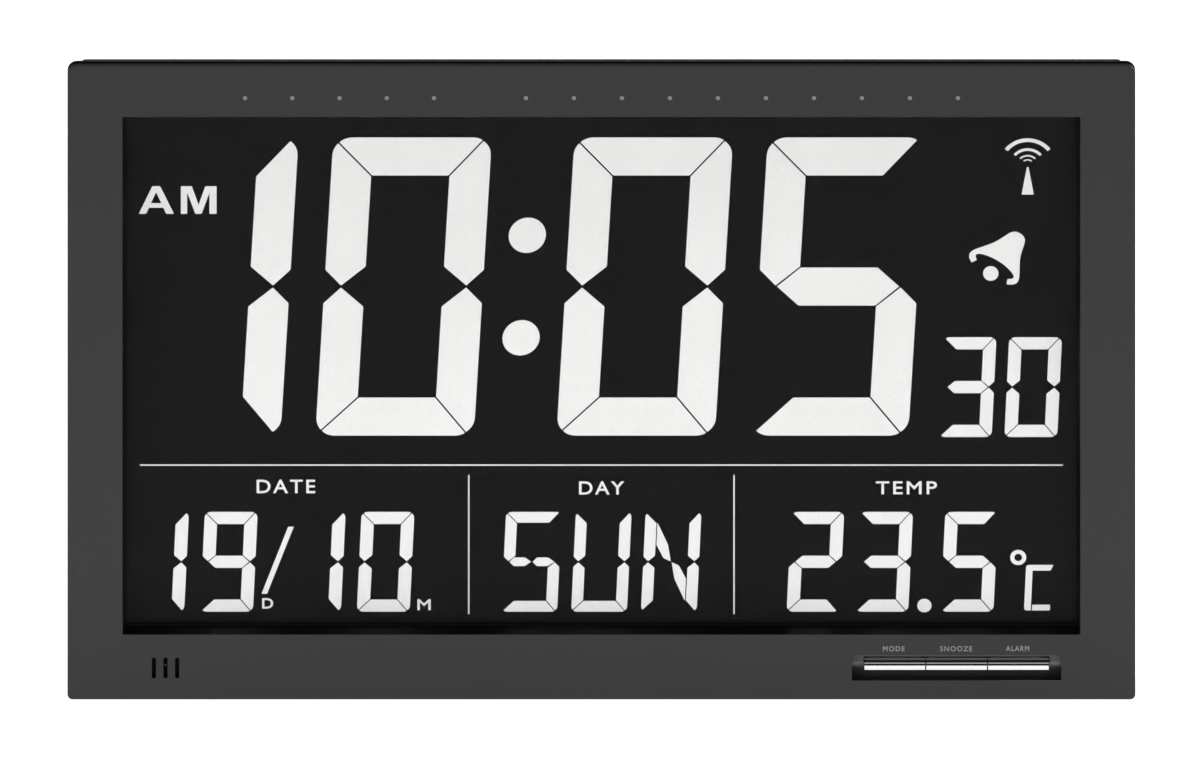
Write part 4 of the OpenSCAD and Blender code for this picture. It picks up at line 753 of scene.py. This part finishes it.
def rearKeyShare(a, b):
    return 1 if min(a.y, b.y) > rearKeyEdges["from"] else 0


standFor(roundedCopy("rear_cover", "rearCover", coverEdges["radius"], coverShare), "rear_cover")
for node, name in (("set_key", "setKey"), ("plus_key", "plusKey"),
                   ("minus_key", "minusKey"), ("unit_key", "unitKey")):
    standFor(roundedCopy(node, name, rearKeyEdges["radius"], rearKeyShare, rearKeyEdges["segments"]),
             node)

grip = {
    "width": 1.0, "depth": 0.45, "pitch": 2.2, "doorLength": 14.0, "doorTop": 119.5, "doorCount": 5,
    "footLength": 12.0, "footX": 123.0, "footZ": 20.2, "footCount": 4,
    "rounding": 0.35, "outerFrom": 13.5, "margin": 1,
}


def groovedCopy(node, name, places, length, upright):
    # A rounded copy with shallow finger grooves cut into its outer face
    tree, given = newTree(name + "Grooves", ("Length", "Radius"))
    cutter = addNode(tree, "GeometryNodeMeshCylinder", {"Vertices": 24}, {
        "Radius": given["Radius"], "Depth": given["Length"],
    })
    row = addNode(tree, "GeometryNodeInstanceOnPoints", {
        "Rotation": (0, 0 if upright else math.pi / 2, 0),
    }, {"Points": given["Geometry"], "Instance": cutter.outputs["Mesh"]})
    finishTree(tree, row.outputs[0], "coarseErodedAbs")
    cutters = growTree("cutters", places, tree, {"Length": length, "Radius": grip["width"] / 2})
    xs = [p[0] for p in places]
    zs = [p[2] for p in places]

    def share(a, b):
        # No edge of a groove is rounded
        if min(a.y, b.y) < grip["outerFrom"]:
            return 0
        reach = length / 2 + grip["margin"]
        among = all(min(xs) - reach < p.x < max(xs) + reach and min(zs) - reach < p.z < max(zs) + reach
                    for p in (a, b))
        return 0 if among else 1

    obj = roundedCopy(node, name, grip["rounding"], share, cutters=cutters)
    bpy.data.objects.remove(cutters)
    return standFor(obj, node)


def grooveY(node):
    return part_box(node)[1].y / mm + grip["width"] / 2 - grip["depth"]


groovedCopy("battery_door", "batteryDoor",
            [(0, grooveY("battery_door"), grip["doorTop"] - i * grip["pitch"])
             for i in range(grip["doorCount"])], grip["doorLength"], False)
for side, node, name in ((1, "stand_foot_right", "standFootRight"),
                         (-1, "stand_foot_left", "standFootLeft")):
    groovedCopy(node, name, [(side * (grip["footX"] + i * grip["pitch"]), grooveY(node), grip["footZ"])
                             for i in range(grip["footCount"])], grip["footLength"], True)
print("rear mouldings ready")

keySigns = {  # text, the key it is on, and half its width and height
    "setSign": ("SET", "set_key", 2.1, 0.9), "plusSign": ("+", "plus_key", 1.4, 1.4),
    "minusSign": ("-", "minus_key", 1.4, 0.25), "unitSign": ("C/F", "unit_key", 2.0, 0.95),
}
signInk = {"sunk": 0.01, "thick": 0.03, "bold": 0.05, "spacing": 1.1}
for name, (text, node, halfWide, halfHigh) in keySigns.items():
    low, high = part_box(node)
    middle = (low + high) / 2 / mm
    place = (middle.x - halfWide, middle.x + halfWide, middle.z - halfHigh, middle.z + halfHigh)
    sign = printed(name, typed(name, text, signInk["spacing"]), place,
                   (high.y - faceY) / mm - signInk["sunk"], signInk["thick"], -1, signInk["bold"])
    wear(sign, "whitePadInk")
    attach(sign, cadNodes[node]["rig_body"])
print("rear signs ready")

cell = {
    "length": 50.5, "radius": 7.25, "nub": 1.0, "nubRadius": 2.7, "rim": 0.5, "crimp": 1.4,
    "recess": 0.6, "dish": 0.3, "axisY": 5.15, "heights": (73.5, 88.5, 103.5, 118.5), "around": 48,
}
cellCap = {  # the bare metal ends: the flat of the minus end, and the step round the plus nub
    "depth": 0.8, "under": 0.05, "flat": (4.4, 4.8), "step": (3.3, 3.7), "stepDrop": 0.1,
    "nubRim": 0.25,
}


def roundedRim(along, inward):
    # A quarter turn round a cell's shoulder, from its side to its end
    r = cell["rim"]
    return [(along + inward * r * (1 - math.sin(t)), cell["radius"] - r * (1 - math.cos(t)))
            for t in (k * math.pi / 8 for k in range(5))]


def cellRow(name, profiles, finish):
    # Profiles of (along, radius) turned round the axis of each cell, whose ends alternate
    points, faces = [], []
    around = cell["around"]
    for i, z in enumerate(cell["heights"]):
        turn = 1 if i % 2 == 0 else -1
        for profile in profiles:
            base = len(points)
            for along, radius in profile:
                for k in range(around):
                    angle = 2 * math.pi * k / around
                    points.append((turn * along, cell["axisY"] + radius * math.cos(angle),
                                   z + radius * math.sin(angle)))
            for ring in range(len(profile) - 1):
                for k in range(around):
                    a = base + ring * around + k
                    b = base + ring * around + (k + 1) % around
                    faces.append((a, a + around, b + around, b))
    obj = meshObject(name, shapeOf(points, faces))
    wear(obj, finish)
    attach(obj, "case")
    return obj


end = cell["length"] / 2
shoulder = end - cell["nub"]
crimp = cell["radius"] - cell["crimp"]
tiny = 0.001  # closes a profile on the axis
sleeves = cellRow("cellSleeves", [
    [(-end + cell["recess"], tiny), (-end + cell["recess"], crimp), (-end, crimp)]
    + roundedRim(-end, 1)[::-1] + roundedRim(shoulder, -1)
    + [(shoulder, crimp), (shoulder - cell["recess"], crimp), (shoulder - cell["recess"], tiny)],
], "shrinkSleeve")
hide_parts("battery_cells")
under = crimp + cellCap["under"]
flat, step = cellCap["flat"], cellCap["step"]
nub, nubRim = cell["nubRadius"], cellCap["nubRim"]
minusDish, minusBack = -end + cell["dish"], -end + cellCap["depth"]
plusDish, plusBack = shoulder - cell["dish"], shoulder - cellCap["depth"]
cellRow("cellEnds", [
    [(minusBack, tiny), (minusBack, under), (minusDish, under), (minusDish, flat[1]),
     (-end, flat[0]), (-end, tiny)],
    [(plusBack, tiny), (plusBack, under), (plusDish, under), (plusDish, step[1]),
     (shoulder - cellCap["stepDrop"], step[0]), (shoulder, nub), (end - nubRim, nub),
     (end, nub - nubRim), (end, tiny)],
], "nickelPlatedSteel")

polarity = {
    "along": 19.0, "size": 3.4, "stroke": 0.8, "steps": 10, "proud": 0.02, "crossProud": 0.024,
    "sunk": 0.05,
}


def wrappedBar(x, z, halfAlong, halfRound, proud):
    # A thin mark laid round a sleeve's rear side, with its inner face in the sleeve
    points, faces = [], []
    steps = polarity["steps"]
    for radius in (cell["radius"] + proud, cell["radius"] - polarity["sunk"]):
        for k in range(steps + 1):
            angle = (2 * k / steps - 1) * halfRound / cell["radius"]
            for along in (x - halfAlong, x + halfAlong):
                points.append((along, cell["axisY"] + radius * math.cos(angle),
                               z + radius * math.sin(angle)))
    inner = 2 * (steps + 1)
    for k in range(0, 2 * steps, 2):
        faces += [(k, k + 2, k + 3, k + 1), (inner + k, inner + k + 1, inner + k + 3, inner + k + 2),
                  (k, inner + k, inner + k + 2, k + 2), (k + 1, k + 3, inner + k + 3, inner + k + 1)]
    faces += [(0, 1, inner + 1, inner), (inner - 2, 2 * inner - 2, 2 * inner - 1, inner - 1)]
    return points, faces


points, faces = [], []
long, thin = polarity["size"] / 2, polarity["stroke"] / 2
for i, z in enumerate(cell["heights"]):
    plus = polarity["along"] * (1 if i % 2 == 0 else -1)
    for x, halfAlong, halfRound, proud in ((plus, long, thin, polarity["proud"]),
                                           (plus, thin, long, polarity["crossProud"]),
                                           (-plus, thin, long, polarity["proud"])):
        morePoints, moreFaces = wrappedBar(x, z, halfAlong, halfRound, proud)
        faces += [tuple(len(points) + c for c in face) for face in moreFaces]
        points += morePoints
signs = meshObject("polaritySigns", shapeOf(points, faces))
wear(signs, "whitePadInk")
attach(signs, "case")

coil = {"turns": 4.5, "small": 2.25, "large": 4.4, "wire": 0.35, "length": 3.0}
tree, given = newTree("coneSpring", ("Small Radius", "Large Radius", "Length", "Wire Radius"))
spiral = addNode(tree, "GeometryNodeCurveSpiral", {"Resolution": 28, "Rotations": coil["turns"]}, {
    "Start Radius": given["Small Radius"], "End Radius": given["Large Radius"],
    "Height": given["Length"],
})
section = addNode(tree, "GeometryNodeCurvePrimitiveCircle", {"Resolution": 8},
                  {"Radius": given["Wire Radius"]})
swept = addNode(tree, "GeometryNodeCurveToMesh", {"Fill Caps": True}, {
    "Curve": spiral.outputs[0], "Profile Curve": section.outputs[0],
})
facing = addNode(tree, "GeometryNodeInputNamedAttribute", {"data_type": "FLOAT", "Name": "facing"})
turned = addNode(tree, "ShaderNodeCombineXYZ", None, {"Y": facing.outputs[0]})
placed = addNode(tree, "GeometryNodeInstanceOnPoints", None, {
    "Points": given["Geometry"], "Instance": swept.outputs[0], "Rotation": turned.outputs[0],
})
finishTree(tree, placed.outputs[0], "nickelPlatedSteel")
ways = [-1 if i % 2 == 0 else 1 for i in range(len(cell["heights"]))]
springs = growTree("coneSprings", [
    (way * (end + coil["wire"]), cell["axisY"], z) for way, z in zip(ways, cell["heights"])
], tree, {
    "Small Radius": coil["small"], "Large Radius": coil["large"],
    "Length": coil["length"] - 2 * coil["wire"], "Wire Radius": coil["wire"],
}, [way * math.pi / 2 for way in ways])
springs.data.polygons.foreach_set("use_smooth", [True] * len(springs.data.polygons))
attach(springs, "case")
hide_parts("battery_springs")
print("batteries ready")

stage = {"floorReach": 3.0, "floorDrop": 0.1, "floorGlow": 0.93, "roomGlow": 0.03, "backdrop": 1.0}
floorMesh = bpy.data.meshes.new("studioFloor")
reach = stage["floorReach"]
floorMesh.from_pydata([(-reach, -reach, 0), (reach, -reach, 0), (reach, reach, 0),
                       (-reach, reach, 0)], [], [(0, 1, 2, 3)])
floor = newObject("studioFloor", floorMesh)
floor.location.z = -stage["floorDrop"] * mm
paper, paperTree = newMaterial("whiteStudioPaper")
paperShader = addNode(paperTree, "ShaderNodeBsdfPrincipled", {
    "Base Color": linear("#f4f4f4"), "Roughness": 0.9, "Specular IOR Level": 0.1,
    "Emission Color": linear("#ffffff"), "Emission Strength": stage["floorGlow"],
})
addNode(paperTree, "ShaderNodeOutputMaterial", None, {"Surface": paperShader.outputs[0]})
floor.data.materials.append(paper)

world = bpy.data.worlds.new("studioRoom")
bpy.context.scene.world = world
world.use_nodes = True
room = world.node_tree
room.nodes.clear()
seen = addNode(room, "ShaderNodeLightPath")
dim = addNode(room, "ShaderNodeBackground", {
    "Color": linear("#ffffff"), "Strength": stage["roomGlow"],
})
pale = addNode(room, "ShaderNodeBackground", {
    "Color": linear("#ffffff"), "Strength": stage["backdrop"],
})
either = addNode(room, "ShaderNodeMixShader", None, {
    0: seen.outputs["Is Camera Ray"], 1: dim.outputs[0], 2: pale.outputs[0],
})
addNode(room, "ShaderNodeOutputWorld", None, {"Surface": either.outputs[0]})

softboxes = {  # place, aim, size, power and whether it shows in reflections
    "frontSoftbox": ((0, -2.4, 0.3), (0, 0, 0.1), (2.4, 0.5), 23.5, True),
    "rearSoftbox": ((0.4, 2.4, 0.12), (0, 0, 0.1), (2.2, 0.2), 14, True),
    "overheadStrip": ((0, -1.25, 1.6), (0, 0, 0.1), (2.4, 0.5), 1.6, True),
    "topSoftbox": ((0, 0.55, 1.9), (0, 0.05, 0.1), (2.4, 0.5), 22, True),
    "tableBounce": ((0, -0.18, 0.02), (0, 0, 0.07), (1.2, 0.03), 0.42, False),
}
for name, (at, aim, size, power, mirrored) in softboxes.items():
    lamp = bpy.data.lights.new(name, "AREA")
    lamp.shape = "RECTANGLE"
    lamp.size, lamp.size_y = size
    lamp.energy = power
    box = newObject(name, lamp)
    box.location = at
    box.rotation_euler = (Vector(aim) - Vector(at)).to_track_quat("-Z", "Y").to_euler()
    box.visible_camera = False
    box.visible_glossy = mirrored

view = {"elevation": 18.3, "middle": (-0.48, 0, 111.4), "distance": 2.0, "width": 413.5}
lens = bpy.data.cameras.new("studioCamera")
lens.type = "ORTHO"
lens.ortho_scale = view["width"] * mm
camera = newObject("studioCamera", lens)
tilt = math.radians(view["elevation"])
camera.location = Vector(view["middle"]) * mm + view["distance"] * Vector(
    (0, -math.cos(tilt), math.sin(tilt)))
camera.rotation_euler = (math.pi / 2 - tilt, 0, 0)
bpy.context.scene.camera = camera
bpy.context.scene.view_settings.view_transform = "Standard"
print("stage, lights and camera ready")
